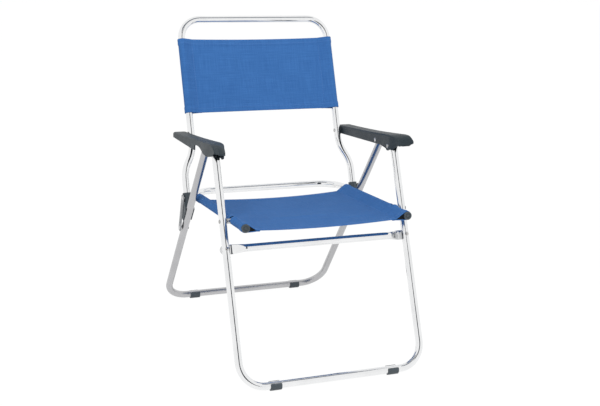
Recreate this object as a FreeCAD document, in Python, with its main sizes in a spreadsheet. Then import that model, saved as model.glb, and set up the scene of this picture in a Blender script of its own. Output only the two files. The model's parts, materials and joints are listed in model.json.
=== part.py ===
"""Folding camp chair: polished round tube, fabric seat and back band, moulded armrests.

The chair stands on the floor plane and faces -Y. X is its plane of symmetry. The side
view is one linkage: the armrest, front leg, seat rail and upright make a parallelogram,
and the rear leg hangs from the armrest and is held to the hinge by a short steel link.
Every size is a cell of the sheet "Sizes". Every worked-out place is a property of the
set "Layout", whose formula reads the sheet.
"""
import FreeCAD, Part
import math
import os
import Sketcher
from FreeCAD import Placement, Rotation, Vector

SIZES = [
    ("tube_diameter", 20.0, "outside of every frame tube"),
    ("tube_wall", 1.2, "wall of every frame tube"),
    ("leg_half_width", 255.5, "middle plane to leg axis"),
    ("bush_length", 9.5, "seat rail to leg, kept apart by a bush"),
    ("boss_length", 8.9, "armrest's inner face to the end of its pivot bosses"),
    ("foot_lift", 3.0, "floor to the underside of the floor bars"),
    ("front_slope", 0.441, "front leg, run back for each unit of height"),
    ("back_slope", 0.4123, "upright, run back for each unit of height"),
    ("seat_pivot_height", 403.1, "floor to the pivot of seat and front leg"),
    ("arm_rise", 158.1, "height from the seat pivots to the armrest pivots"),
    ("pivot_span", 313.6, "run from front pivots to rear pivots, seat and armrest"),
    ("pivot_drop", 19.1, "fall from front pivots to rear pivots"),
    ("rear_pivot_back", 78.5, "run from front leg pivot back to rear leg pivot"),
    ("rear_pivot_rise", 1.1, "height of rear leg pivot over front leg pivot"),
    ("saddle_drop", 40.0, "hinge down to where rear leg crosses the upright's line"),
    ("link_drop", 94.0, "hinge down to the lower pivot of the link"),
    ("back_height", 857.6, "floor to the axis of the top bar"),
    ("leg_bend", 66.0, "bend radius of both floor bars"),
    ("top_bend", 58.0, "bend radius of the top bar"),
    ("seat_bend", 69.0, "bend radius of the seat tube"),
    ("flare_top", 16.0, "flare starts this far below the armrest pivot, along the tube"),
    ("flare_length", 105.0, "length of the flare along the tube"),
    ("seat_tail", 76.0, "hinge back to the rear seat bar"),
    ("rail_nose", 90.0, "seat pivot forward to the end of the rail"),
    ("leg_tip", 12.0, "leg end beyond its armrest pivot"),
    ("upright_tail", 12.0, "upright end below the hinge"),
    ("shank_radius", 3.0, "rivet shank"),
    ("running_gap", 0.05, "radial clearance of a turning rivet"),
    ("head_radius", 5.5, "rivet head"),
    ("head_height", 1.6, "rivet head"),
    ("head_gap", 0.1, "rivet head to the piece that turns under it"),
    ("plate_gap", 0.3, "between pieces that turn beside each other"),
    ("arm_gap", 0.8, "upright to armrest wall"),
    ("arm_wall", 2.8, "wall of the armrest"),
    ("arm_roof", 3.0, "roof of the armrest"),
    ("arm_dip", 2.5, "hollow along the armrest's top"),
    ("arm_width", 39.4, "armrest at its rear"),
    ("arm_flare", 5.8, "armrest's outer side, wider at the nose"),
    ("flare_front", 27.0, "front pivot forward to the end of that flare"),
    ("flare_rear", 138.0, "front pivot back to the start of that flare"),
    ("arm_tail", 21.0, "armrest behind the upright pivot"),
    ("arm_tail_rise", 12.9, "armrest top over the upright pivot"),
    ("arm_tail_depth", 10.1, "armrest wall below the upright pivot"),
    ("tail_round", 13.0, "lower rear round of the armrest"),
    ("nose_reach", 48.8, "front pivot forward to the middle of the nose round"),
    ("nose_radius", 37.3, "round of the nose in side view"),
    ("nose_rise", 1.5, "middle of the nose round over the front pivot"),
    ("nose_lean", 4.3, "the round meets the top this far behind its middle"),
    ("nose_tip_rise", 12.3, "lowest point of the round over its middle"),
    ("nose_tuck", 2.1, "that point behind the round's foremost reach"),
    ("nose_lip", 4.5, "small round under the nose"),
    ("nose_slant", 38.0, "front pivot forward to the cut-back inner corner"),
    ("nose_flat", 2.5, "depth of the flat on the nose's foremost point"),
    ("nose_front", 19.5, "width of the nose's square front"),
    ("nose_corner", 10.0, "round of the plan's corners"),
    ("arm_edge", 5.0, "fillet along the armrest's top"),
    ("boss_radius", 8.0, "pivot boss inside the armrest"),
    ("pivot_skirt", 12.2, "wall left below the front pivot"),
    ("skirt_half", 9.0, "half width of that skirt where it meets the wall's edge"),
    ("skirt_run", 43.0, "front pivot back to the wall's straight edge"),
    ("skirt_rise", 5.2, "that edge below the front pivot"),
    ("hood_drop", 4.3, "outer wall's edge behind the armrest, below the upright pivot"),
    ("hood_foot", 12.9, "that edge at the arch, below the front pivot"),
    ("hood_run", 121.0, "front pivot back to the arch"),
    ("arch_step", 13.0, "step up into the arch"),
    ("arch_fall", 2.0, "front end of the arch below its rear end"),
    ("arch_length", 87.0, "arch along the wall"),
    ("arch_radius", 130.0, "arch"),
    ("block_wall", 2.2, "moulded wall round the upright's end"),
    ("block_rise", 14.0, "hinge up to the block's mouth"),
    ("saddle_wall", 3.2, "saddle wall beside the leg"),
    ("saddle_gap", 0.3, "saddle to leg"),
    ("saddle_ahead", 15.0, "saddle up the leg from the upright's line"),
    ("saddle_behind", 30.0, "saddle down the leg from the upright's line"),
    ("saddle_lip", 3.0, "saddle walls past the leg's axis"),
    ("heel_round", 10.0, "round of the saddle's rear end"),
    ("block_edge", 1.5, "fillet of the block's side faces"),
    ("saddle_back", 8.0, "plastic behind the leg at the saddle"),
    ("link_width", 20.0, "link strip"),
    ("link_plate", 2.0, "link strip, thickness"),
    ("link_rib", 8.0, "pressed rib of the link, width"),
    ("link_rib_depth", 1.2, "pressed rib of the link, height"),
    ("bush_radius", 6.5, "spacer bush between rail and leg or block"),
    ("stretcher_drop", 72.1, "seat pivot down the leg to the stretcher"),
    ("stretcher_height", 26.0, "flattened end of the stretcher, along the leg"),
    ("stretcher_plate", 3.0, "flattened end of the stretcher, thickness"),
    ("stretcher_squeeze", 16.0, "length over which the stretcher is flattened"),
    ("stretcher_inset", 36.5, "leg axis to the start of the flattening"),
    ("plug_length", 14.0, "plug shank inside the rail"),
    ("plug_lip", 1.0, "plug head past the rail's outside"),
    ("plug_head", 5.0, "plug head, length"),
    ("plug_edge", 1.5, "round and chamfer of the plug"),
    ("fabric_thickness", 1.1, "seat and back fabric"),
    ("fabric_gap", 0.2, "fabric sleeve to tube"),
    ("seat_sag", 9.0, "fall of the seat fabric in its middle"),
    ("back_sag", 8.0, "hollow of the back fabric in its middle"),
    ("seat_front_gap", 2.0, "end of the rail to the seat fabric"),
    ("seat_rear_gap", 13.0, "hinge forward to the seat fabric's rear edge"),
    ("seat_hollow", 12.0, "curve of the seat fabric's free edges"),
    ("sleeve_notch", 8.5, "hole in the sleeve round the seat pivot"),
    ("back_band_height", 198.0, "back fabric, height"),
    ("foot_inset", 90.5, "leg axis to the middle of a glide"),
    ("foot_length", 29.0, "glide along the bar"),
    ("foot_flat", 0.4, "depth of the flat on the glide's round"),
    ("foot_mouth", 7.0, "glide wraps the bar to this height over its axis"),
]

NEAR = 0.01  # lengths under this count as none, in millimetres

doc = FreeCAD.newDocument("folding_camp_chair")
sheet = doc.addObject("Spreadsheet::Sheet", "Sizes")
for row, (alias, value, note) in enumerate(SIZES, start=1):
    sheet.set("A%d" % row, alias)
    sheet.set("B%d" % row, repr(value))
    sheet.set("C%d" % row, note)
    sheet.setAlias("B%d" % row, alias)
layout = doc.addObject("App::VarSet", "Layout")
doc.recompute()


class Dim:
    """A size as both its value and the formula that ties an object to the sheet."""

    def __init__(self, value, formula=None):
        self.value = float(value)
        self.plain = formula is None
        self.formula = repr(self.value) if self.plain else formula

    def _with(self, other, sign, result):
        return Dim(result, "(%s %s %s)" % (self.formula, sign, other.formula))

    def __add__(self, other):
        other = as_dim(other)
        return self._with(other, "+", self.value + other.value)

    def __sub__(self, other):
        other = as_dim(other)
        return self._with(other, "-", self.value - other.value)

    def __mul__(self, other):
        other = as_dim(other)
        return self._with(other, "*", self.value * other.value)

    def __truediv__(self, other):
        other = as_dim(other)
        return self._with(other, "/", self.value / other.value)

    def __radd__(self, other):
        return as_dim(other) + self

    def __rsub__(self, other):
        return as_dim(other) - self

    def __rmul__(self, other):
        return as_dim(other) * self

    def __rtruediv__(self, other):
        return as_dim(other) / self

    def __neg__(self):
        return Dim(-self.value, "(-1 * %s)" % self.formula)


def as_dim(number):
    """A Dim from a Dim or a plain number."""
    return number if isinstance(number, Dim) else Dim(number)


def root(dim):
    return Dim(math.sqrt(dim.value), "sqrt(%s)" % dim.formula)


def lean(slope):
    """The angle in degrees whose tangent is the slope."""
    return Dim(math.degrees(math.atan(slope.value)), "atan(%s)" % slope.formula)


def size(alias):
    """A cell of the sheet."""
    return Dim(sheet.get(alias), "Sizes.%s" % alias)


def keep(name, dim):
    """Stores a worked-out size in the Layout set, with its formula."""
    layout.addProperty("App::PropertyFloat", name)
    setattr(layout, name, dim.value)
    layout.setExpression(name, dim.formula)
    return Dim(dim.value, "Layout.%s" % name)


def keep_point(name, along, height):
    """A point of the side view: how far back it is, and how high."""
    return keep(name + "_y", along), keep(name + "_z", height)


# ---------------------------------------------------------------- the side view

tube_radius = keep("tube_radius", size("tube_diameter") / 2)
bore_radius = keep("bore_radius", tube_radius - size("tube_wall"))
leg_inner = size("leg_half_width") - tube_radius
leg_outer = size("leg_half_width") + tube_radius
seat_half_width = keep("seat_half_width", leg_inner - size("bush_length") - tube_radius)
arm_inner = keep("arm_inner", leg_inner - size("plate_gap") - size("boss_length"))
back_half_width = keep("back_half_width", arm_inner - size("arm_gap") - tube_radius)
bar_height = keep("bar_height", size("foot_lift") + tube_radius)

# The front floor bar is the first zero of the run; the origin is moved afterwards.
seat_pivot_run = size("front_slope") * (size("seat_pivot_height") - bar_height)
hinge_run = seat_pivot_run + size("pivot_span")
hinge_height = size("seat_pivot_height") - size("pivot_drop")
arm_run = hinge_run + size("front_slope") * size("arm_rise")
arm_height = hinge_height + size("arm_rise")
rear_pivot_run = arm_run - size("pivot_span") + size("rear_pivot_back")
rear_pivot_height = arm_height + size("pivot_drop") + size("rear_pivot_rise")
saddle_height = hinge_height - size("saddle_drop")
saddle_run = arm_run - size("back_slope") * (arm_height - saddle_height)
rear_slope = keep(
    "rear_slope", (saddle_run - rear_pivot_run) / (rear_pivot_height - saddle_height)
)
floor_depth = keep("floor_depth", saddle_run + rear_slope * (saddle_height - bar_height))
shift = floor_depth / 2

FRONT_BAR = keep_point("front_bar", -shift, bar_height)
REAR_BAR = keep_point("rear_bar", shift, bar_height)
SEAT_PIVOT = keep_point("seat_pivot", seat_pivot_run - shift, size("seat_pivot_height"))
HINGE = keep_point("hinge", hinge_run - shift, hinge_height)
ARM_PIVOT = keep_point("arm_pivot", arm_run - shift, arm_height)
FRONT_PIVOT = keep_point(
    "front_pivot", ARM_PIVOT[0] - size("pivot_span"), ARM_PIVOT[1] + size("pivot_drop")
)
REAR_PIVOT = keep_point("rear_pivot", rear_pivot_run - shift, rear_pivot_height)
LINK_PIVOT = keep_point(
    "link_pivot",
    REAR_BAR[0] - rear_slope * (HINGE[1] - size("link_drop") - bar_height),
    HINGE[1] - size("link_drop"),
)
TOP_BAR = keep_point(
    "top_bar",
    ARM_PIVOT[0] + size("back_slope") * (size("back_height") - ARM_PIVOT[1]),
    size("back_height"),
)


def stretch(name, slope):
    """Length along a leaning tube for each unit of height."""
    return keep(name, root(1 + slope * slope))


front_stretch = stretch("front_stretch", size("front_slope"))
rear_stretch = stretch("rear_stretch", rear_slope)
back_stretch = stretch("back_stretch", size("back_slope"))
seat_slope = keep("seat_slope", size("pivot_drop") / size("pivot_span"))
seat_stretch = stretch("seat_stretch", seat_slope)
link_slope = keep("link_slope", (LINK_PIVOT[0] - HINGE[0]) / size("link_drop"))
link_stretch = stretch("link_stretch", link_slope)

# ---------------------------------------------------------------- drawing helpers


def new_body(label):
    body = doc.addObject("PartDesign::Body", label)
    body.Label = label
    return body


def place(obj, point=None, angle=None, along_x=None):
    """Sets an object's place, and a turn about X in degrees, tied to the layout."""
    turn = Rotation(Vector(1, 0, 0), angle.value if angle else 0)
    obj.Placement = Placement(Vector(), turn)
    if angle:
        obj.setExpression("Placement.Rotation.Angle", angle.formula)
    if along_x:
        obj.setExpression("Placement.Base.x", along_x.formula)
    if point:
        obj.setExpression("Placement.Base.y", point[0].formula)
        obj.setExpression("Placement.Base.z", point[1].formula)


def new_sketch(body, name, plane, offset=None, side=None, turn=None):
    """A sketch on an origin plane: offset along its normal, moved up by side, turned."""
    sketch = body.newObject("Sketcher::SketchObject", name)
    support = [f for f in body.Origin.OriginFeatures if f.Role == plane][0]
    sketch.AttachmentSupport = [(support, "")]
    sketch.MapMode = "FlatFace"
    if turn:
        spin = Rotation(Vector(1, 0, 0), turn.value)
        sketch.AttachmentOffset = Placement(Vector(), spin)
        sketch.setExpression("AttachmentOffset.Rotation.Angle", turn.formula)
    if offset:
        sketch.setExpression("AttachmentOffset.Base.z", offset.formula)
    if side:
        sketch.setExpression("AttachmentOffset.Base.y", side.formula)
    return sketch


def bind(sketch, kind, *items):
    """A dimension whose last item is its size, tied to that size's formula."""
    dim = as_dim(items[-1])
    index = sketch.addConstraint(Sketcher.Constraint(kind, *items[:-1], dim.value))
    if not dim.plain:
        sketch.setExpression("Constraints[%d]" % index, dim.formula)


def pin(sketch, geometry, position, x, y):
    """Fixes a point of the sketch at x, y."""
    bind(sketch, "DistanceX", -1, 1, geometry, position, x)
    bind(sketch, "DistanceY", -1, 1, geometry, position, y)


def draw_circle(sketch, x, y, radius):
    x, y, radius = as_dim(x), as_dim(y), as_dim(radius)
    centre = Vector(x.value, y.value, 0)
    index = sketch.addGeometry(Part.Circle(centre, Vector(0, 0, 1), radius.value), False)
    bind(sketch, "Radius", index, radius)
    pin(sketch, index, 3, x, y)


def left_of(vector):
    """The direction a quarter turn to the left of a vector."""
    return Vector(-vector.y, vector.x, 0).normalize()


def bend_centre(start, end, heading):
    """Centre of the arc that leaves start along the heading, and if it turns left."""
    chord = end - start
    reach = chord.Length ** 2 / (2 * chord.dot(left_of(heading)))
    return start + left_of(heading) * reach, reach > 0


def arc_centre(start, end, radius, left):
    """Centre of the arc of that radius under half a turn."""
    chord = end - start
    rise = math.sqrt(radius ** 2 - (chord.Length / 2) ** 2)
    return start + chord * 0.5 + left_of(chord) * (rise if left else -rise)


def arc_through(start, end, centre, left):
    """An arc from start to end, and which of its ends is the start."""
    angles = [math.atan2(p.y - centre.y, p.x - centre.x) for p in (start, end)]
    if not left:
        angles.reverse()
    circle = Part.Circle(centre, Vector(0, 0, 1), (start - centre).Length)
    return Part.ArcOfCircle(circle, angles[0], angles[1]), 1 if left else 2


def draw_run(sketch, start, moves, closed=False):
    """Lines and arcs, end to end.

    A move is ("line", x, y), ("bend", x, y) for an arc tangent to the move before it, or
    ("left", x, y, radius) and ("right", x, y, radius) for an arc under half a turn that
    turns that way.
    """
    here = Vector(as_dim(start[0]).value, as_dim(start[1]).value, 0)
    first = last = heading = None
    for move in moves:
        kind, x, y = move[0], as_dim(move[1]), as_dim(move[2])
        there = Vector(x.value, y.value, 0)
        if kind == "line":
            stroke, begin = Part.LineSegment(here, there), 1
            heading = there - here
        else:
            if kind == "bend":
                centre, left = bend_centre(here, there, heading)
            else:
                left = kind == "left"
                centre = arc_centre(here, there, as_dim(move[3]).value, left)
            stroke, begin = arc_through(here, there, centre, left)
            heading = left_of(there - centre) * (1 if left else -1)
        index = sketch.addGeometry(stroke, False)
        if kind in ("left", "right"):
            bind(sketch, "Radius", index, move[3])
        if last is None:
            first = (index, begin)
            pin(sketch, index, begin, *start)
        else:
            joint = "Tangent" if kind == "bend" else "Coincident"
            sketch.addConstraint(Sketcher.Constraint(joint, *last, index, begin))
        last = (index, 3 - begin)
        here = there
        if closed and move is moves[-1]:
            sketch.addConstraint(Sketcher.Constraint("Coincident", *last, *first))
        else:
            pin(sketch, *last, x, y)


def pad(body, sketch, length, midplane=False, name="pad"):
    feature = body.newObject("PartDesign::Pad", name)
    feature.Profile = sketch
    feature.Length = length.value
    feature.setExpression("Length", length.formula)
    feature.Midplane = midplane
    return feature


def pocket(body, sketch, length=None, midplane=False, reverse=False, name="pocket"):
    """Cuts through everything unless a length is given."""
    feature = body.newObject("PartDesign::Pocket", name)
    feature.Profile = sketch
    feature.Midplane = midplane
    feature.Reversed = reverse
    if length is None:
        feature.Type = 1
    else:
        feature.Length = length.value
        feature.setExpression("Length", length.formula)
    return feature


def turn_about(body, sketch, axis):
    """A full turn of a half section about an axis of its sketch."""
    turned = body.newObject("PartDesign::Revolution", "turned")
    turned.Profile = sketch
    turned.ReferenceAxis = (sketch, [axis])
    turned.Angle = 360.0


def drill_across(body, holes, name="rivet_holes"):
    """Holes along X through the whole body: (y, z, radius) in the body's own frame."""
    sketch = new_sketch(body, name + "_sketch", "YZ_Plane")
    for y, z, radius in holes:
        draw_circle(sketch, y, z, radius)
    pocket(body, sketch, midplane=True, name=name)


def fillet(body, feature, radius, wanted, name="fillet"):
    """Rounds the edges of a feature for which wanted(edge) is true."""
    doc.recompute()
    edges = feature.Shape.Edges
    names = ["Edge%d" % (i + 1) for i, edge in enumerate(edges) if wanted(edge)]
    rounding = body.newObject("PartDesign::Fillet", name)
    rounding.Base = (feature, names)
    rounding.Radius = radius.value
    rounding.setExpression("Radius", radius.formula)
    return rounding


def bend_tube(body, path, start_plane, start_offset, start_x):
    """Runs a hollow round section along the path."""
    profile = new_sketch(body, "section", start_plane, offset=start_offset)
    draw_circle(profile, start_x, 0, tube_radius)
    draw_circle(profile, start_x, 0, bore_radius)
    tube = body.newObject("PartDesign::AdditivePipe", "bent_tube")
    tube.Profile = profile
    tube.Spine = (path, [])
    return tube


def mirrored(obj, label):
    """The same piece on the other side of the middle plane."""
    twin = doc.addObject("Part::Mirroring", label)
    twin.Label = label
    twin.Source = obj
    twin.Normal = (1, 0, 0)
    return twin


def group(label, members):
    """Like pieces, one solid each, under one label."""
    both = doc.addObject("Part::Compound", label)
    both.Label = label
    both.Links = members
    return both


# ---------------------------------------------------------------- frame tubes


def leg_frame(label, half_width, length):
    """A U of tube: a floor bar along X and two legs up its own Z."""
    bend = size("leg_bend")
    body = new_body(label)
    path = new_sketch(body, "path", "XZ_Plane")
    moves = [
        ("line", -half_width, bend),
        ("bend", bend - half_width, 0),
        ("line", half_width - bend, 0),
        ("bend", half_width, bend),
        ("line", half_width, length),
    ]
    draw_run(path, (-half_width, length), moves)
    bend_tube(body, path, "XY_Plane", length, -half_width)
    return body


front_length = keep(
    "front_length", (FRONT_PIVOT[1] - bar_height) * front_stretch + size("leg_tip")
)
rear_length = keep(
    "rear_length", (REAR_PIVOT[1] - bar_height) * rear_stretch + size("leg_tip")
)
seat_pivot_up_leg = keep(
    "seat_pivot_up_leg", (SEAT_PIVOT[1] - bar_height) * front_stretch
)
stretcher_up_leg = keep("stretcher_up_leg", seat_pivot_up_leg - size("stretcher_drop"))
link_pivot_up_leg = keep("link_pivot_up_leg", (LINK_PIVOT[1] - bar_height) * rear_stretch)


def make_front_leg_frame():
    body = leg_frame("front_leg_frame", size("leg_half_width"), front_length)
    shank = size("shank_radius")
    holes = [(0, front_length - size("leg_tip"), shank), (0, seat_pivot_up_leg, shank)]
    drill_across(body, holes)
    rivets = new_sketch(body, "stretcher_holes_sketch", "XZ_Plane")
    for side in (-1, 1):
        draw_circle(rivets, side * size("leg_half_width"), stretcher_up_leg, shank)
    pocket(body, rivets, midplane=True, name="stretcher_holes")
    place(body, FRONT_BAR, -lean(size("front_slope")))
    return body


def make_rear_leg_frame():
    body = leg_frame("rear_leg_frame", size("leg_half_width"), rear_length)
    shank = size("shank_radius")
    holes = [(0, rear_length - size("leg_tip"), shank), (0, link_pivot_up_leg, shank)]
    drill_across(body, holes)
    place(body, REAR_BAR, lean(rear_slope))
    return body


hinge_down_back = keep(
    "hinge_down_back",
    ((TOP_BAR[1] - HINGE[1]) + size("back_slope") * (TOP_BAR[0] - HINGE[0]))
    / back_stretch,
)
hinge_ahead = keep(
    "hinge_ahead",
    (TOP_BAR[0] - HINGE[0] - size("back_slope") * (TOP_BAR[1] - HINGE[1])) / back_stretch,
)
arm_down_back = keep("arm_down_back", (TOP_BAR[1] - ARM_PIVOT[1]) * back_stretch)
upright_end = keep("upright_end", hinge_down_back + size("upright_tail"))


def make_back_frame():
    """The top bar, and two uprights that flare out to the plane of the legs."""
    narrow, wide = back_half_width, size("leg_half_width")
    bend = size("top_bend")
    middle = (narrow + wide) / 2
    flare_start = -(arm_down_back + size("flare_top"))
    flare_middle = flare_start - size("flare_length") / 2
    flare_end = flare_start - size("flare_length")
    body = new_body("back_frame_tube")
    path = new_sketch(body, "path", "XZ_Plane")
    moves = [
        ("line", -wide, flare_end),
        ("bend", -middle, flare_middle),
        ("bend", -narrow, flare_start),
        ("line", -narrow, -bend),
        ("bend", bend - narrow, 0),
        ("line", narrow - bend, 0),
        ("bend", narrow, -bend),
        ("line", narrow, flare_start),
        ("bend", middle, flare_middle),
        ("bend", wide, flare_end),
        ("line", wide, -upright_end),
    ]
    draw_run(path, (-wide, -upright_end), moves)
    bend_tube(body, path, "XY_Plane", -upright_end, -wide)
    shank = size("shank_radius")
    drill_across(body, [(0, -arm_down_back, shank), (-hinge_ahead, -hinge_down_back, shank)])
    place(body, TOP_BAR, -lean(size("back_slope")))
    return body


rail_length = keep(
    "rail_length",
    size("pivot_span") * seat_stretch + size("seat_tail") + size("rail_nose"),
)
hinge_up_rail = size("seat_tail")
pivot_up_rail = keep("pivot_up_rail", rail_length - size("rail_nose"))


def make_seat_frame():
    """A U lying flat: the rear bar along X, the rails forward along -Y."""
    half_width, bend = seat_half_width, size("seat_bend")
    body = new_body("seat_frame_tube")
    path = new_sketch(body, "path", "XY_Plane")
    moves = [
        ("line", -half_width, -bend),
        ("bend", bend - half_width, 0),
        ("line", half_width - bend, 0),
        ("bend", half_width, -bend),
        ("line", half_width, -rail_length),
    ]
    draw_run(path, (-half_width, -rail_length), moves)
    bend_tube(body, path, "XZ_Plane", rail_length, -half_width)
    loose = size("shank_radius") + size("running_gap")
    drill_across(body, [(-hinge_up_rail, 0, loose), (-pivot_up_rail, 0, loose)])
    place_on_seat(body)
    return body


SEAT_BAR = keep_point(
    "seat_bar",
    HINGE[0] + size("seat_tail") / seat_stretch,
    HINGE[1] - size("seat_tail") * seat_slope / seat_stretch,
)


def place_on_seat(obj, along_x=None):
    """Puts a piece drawn from the rear seat bar into the seat's leaning plane."""
    place(obj, SEAT_BAR, -lean(seat_slope), along_x)


# ---------------------------------------------------------------- rivets and bushes


dome_radius = keep(
    "dome_radius",
    (size("head_radius") * size("head_radius") + size("head_height") * size("head_height"))
    / (2 * size("head_height")),
)

def rivet(label, point, inner, outer, heads=("inner", "outer")):
    """A shank along X from inner to outer, with a low domed head past each end named."""
    shank, head = size("shank_radius"), size("head_radius")
    height = size("head_height")
    start, domed_start = (inner, 0), []
    if "inner" in heads:
        start, domed_start = (inner - height, 0), [("right", inner, head, dome_radius)]
    end = [("line", outer, 0)]
    if "outer" in heads:
        end = [("line", outer, head), ("right", outer + height, 0, dome_radius)]
    moves = domed_start + [("line", inner, shank), ("line", outer, shank)] + end
    body = new_body(label)
    sketch = new_sketch(body, "half_section", "XY_Plane")
    draw_run(sketch, start, moves + [("line", *start)], closed=True)
    turn_about(body, sketch, "H_Axis")
    place(body, point)
    return body


rail_inner = seat_half_width - tube_radius
rail_outer = seat_half_width + tube_radius
block_half = keep("block_half", tube_radius + size("saddle_gap") + size("saddle_wall"))
block_inner = size("leg_half_width") - block_half
block_outer = size("leg_half_width") + block_half
link_inner = keep("link_inner", block_outer + size("plate_gap"))
link_outer = link_inner + size("link_plate")
boss_end = keep("boss_end", leg_inner - size("plate_gap"))
arm_boss_end = keep("arm_boss_end", arm_inner + size("arm_wall") + size("arm_wall"))


def rivet_pair(label, point, inner, outer, heads=("inner", "outer")):
    left = rivet(label + "_one", point, inner, outer, heads)
    return group(label, [left, mirrored(left, label + "_two")])


def ring(label, point, start, end, outer_radius):
    """A bush or washer along X with a hole for a rivet."""
    body = new_body(label)
    sketch = new_sketch(body, "section", "YZ_Plane", offset=start)
    draw_circle(sketch, 0, 0, outer_radius)
    draw_circle(sketch, 0, 0, size("shank_radius"))
    pad(body, sketch, end - start)
    place(body, point)
    return body


def ring_pair(label, point, start, end, outer_radius):
    one = ring(label + "_one", point, start, end, outer_radius)
    return group(label, [one, mirrored(one, label + "_two")])


def make_rivets():
    """Every rivet along X. A head keeps head_gap from a piece that turns under it."""
    gap, plate = size("head_gap"), size("plate_gap")
    return [
        rivet_pair("hinge_rivets", HINGE, rail_inner - gap, link_outer + gap),
        rivet_pair(
            "armrest_rivets",
            ARM_PIVOT,
            back_half_width - tube_radius,
            arm_boss_end + gap,
        ),
        rivet_pair("front_leg_rivets", FRONT_PIVOT, arm_inner - gap, leg_outer),
        rivet_pair("rear_leg_rivets", REAR_PIVOT, arm_inner - gap, leg_outer),
        rivet_pair("seat_pivot_rivets", SEAT_PIVOT, rail_inner - gap, leg_outer),
        rivet_pair("link_rivets", LINK_PIVOT, leg_inner, link_inner - plate, ["inner"]),
        rivet_pair("link_rivet_heads", LINK_PIVOT, link_inner, link_outer, ["outer"]),
        ring_pair("link_washers", LINK_PIVOT, leg_outer, link_inner - plate, size("bush_radius")),
        ring_pair("hinge_spacers", HINGE, rail_outer + plate, block_inner, size("bush_radius")),
        ring_pair("seat_bushes", SEAT_PIVOT, rail_outer + plate, leg_inner, size("bush_radius")),
    ]


# ---------------------------------------------------------------- stretcher


def section_across(kind, name, sizes, x, y):
    """A closed section in a plane across X, its sizes given by property name."""
    shape = doc.addObject(kind, name)
    shape.Placement = Placement(Vector(), Rotation(Vector(0, 1, 0), -90))
    for label, dim in sizes:
        setattr(shape, label, dim.value)
        shape.setExpression(label, dim.formula)
    shape.setExpression("Placement.Base.x", x.formula)
    shape.setExpression("Placement.Base.y", as_dim(y).formula)
    return shape


def round_bar(name, radius, half_length):
    """A cylinder along X, its middle on the middle plane."""
    bar = doc.addObject("Part::Cylinder", name)
    bar.setExpression("Radius", radius.formula)
    bar.setExpression("Height", (2 * half_length).formula)
    bar.Placement = Placement(Vector(), Rotation(Vector(0, 1, 0), 90))
    bar.setExpression("Placement.Base.x", (-half_length).formula)
    return bar


def make_stretcher():
    """Round between the legs, pressed flat and set back at its ends to pass behind them."""
    half_plate = size("stretcher_plate") / 2
    start = keep("squeeze_start", size("leg_half_width") - size("stretcher_inset"))
    end = keep("squeeze_end", start + size("stretcher_squeeze"))
    behind = keep("plate_offset", tube_radius + half_plate)
    half_height = size("stretcher_height") / 2
    oval = [("MajorRadius", half_height), ("MinorRadius", half_plate)]
    neck = doc.addObject("Part::Loft", "stretcher_neck")
    neck.Sections = [
        section_across("Part::Circle", "round_end", [("Radius", tube_radius)], start, 0),
        section_across("Part::Ellipse", "flat_end", oval, end, behind),
    ]
    neck.Solid = True
    tab_body = new_body("stretcher_tab")
    tab = new_sketch(tab_body, "tab_outline", "XZ_Plane", offset=-(behind + half_plate))
    tip = size("leg_half_width")
    root_x = end - half_plate
    moves = [
        ("line", tip, -half_height),
        ("bend", tip, half_height),
        ("line", root_x, half_height),
        ("line", root_x, -half_height),
    ]
    draw_run(tab, (root_x, -half_height), moves, closed=True)
    pad(tab_body, tab, size("stretcher_plate"))
    hole = new_sketch(tab_body, "tab_hole_sketch", "XZ_Plane")
    draw_circle(hole, tip, 0, size("shank_radius"))
    pocket(tab_body, hole, midplane=True, name="tab_hole")
    solid = doc.addObject("Part::MultiFuse", "stretcher_solid")
    solid.Shapes = [
        round_bar("stretcher_tube", tube_radius, start),
        neck,
        mirrored(neck, "other_neck"),
        tab_body,
        mirrored(tab_body, "other_tab"),
    ]
    stretcher = doc.addObject("Part::Cut", "front_stretcher")
    stretcher.Label = "front_stretcher"
    stretcher.Base = solid
    stretcher.Tool = round_bar("stretcher_bore", bore_radius, start - size("tube_wall"))
    place_on_front_leg(stretcher, stretcher_up_leg)
    return stretcher


def place_on_front_leg(obj, up_leg, along_x=None):
    """Puts a piece drawn about the leg's axis at a distance up the leg."""
    here = (
        FRONT_BAR[0] + up_leg * size("front_slope") / front_stretch,
        FRONT_BAR[1] + up_leg / front_stretch,
    )
    place(obj, here, -lean(size("front_slope")), along_x)


def make_stretcher_rivets():
    """Two rivets from front to back through leg and flattened end."""
    head, height = size("head_radius"), size("head_height")
    shank = size("shank_radius")
    back_face = tube_radius + size("stretcher_plate")
    body = new_body("stretcher_rivets_one")
    sketch = new_sketch(body, "half_section", "XY_Plane")
    start = (0, -tube_radius - height)
    moves = [
        ("left", head, -tube_radius, dome_radius),
        ("line", shank, -tube_radius),
        ("line", shank, back_face),
        ("line", head, back_face),
        ("left", 0, back_face + height, dome_radius),
        ("line", start[0], start[1]),
    ]
    draw_run(sketch, start, moves, closed=True)
    turn_about(body, sketch, "V_Axis")
    place_on_front_leg(body, stretcher_up_leg, size("leg_half_width"))
    return group("stretcher_rivets", [body, mirrored(body, "stretcher_rivets_two")])


# ---------------------------------------------------------------- hinge block and link


saddle_down_back = keep(
    "saddle_down_back",
    (TOP_BAR[1] - HINGE[1] + size("saddle_drop")) * back_stretch - hinge_down_back,
)
leg_on_back = keep("leg_on_back", lean(rear_slope) + lean(size("back_slope")))
leg_sine = keep(
    "leg_sine", (rear_slope + size("back_slope")) / (rear_stretch * back_stretch)
)
leg_cosine = keep(
    "leg_cosine", (1 - rear_slope * size("back_slope")) / (rear_stretch * back_stretch)
)


def by_saddle(up_leg, off_leg):
    """A point of the block's side view: up the rear leg's axis, then off it, rearward."""
    y = hinge_ahead - up_leg * leg_sine + off_leg * leg_cosine
    z = up_leg * leg_cosine + off_leg * leg_sine - saddle_down_back
    return y, z


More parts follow.
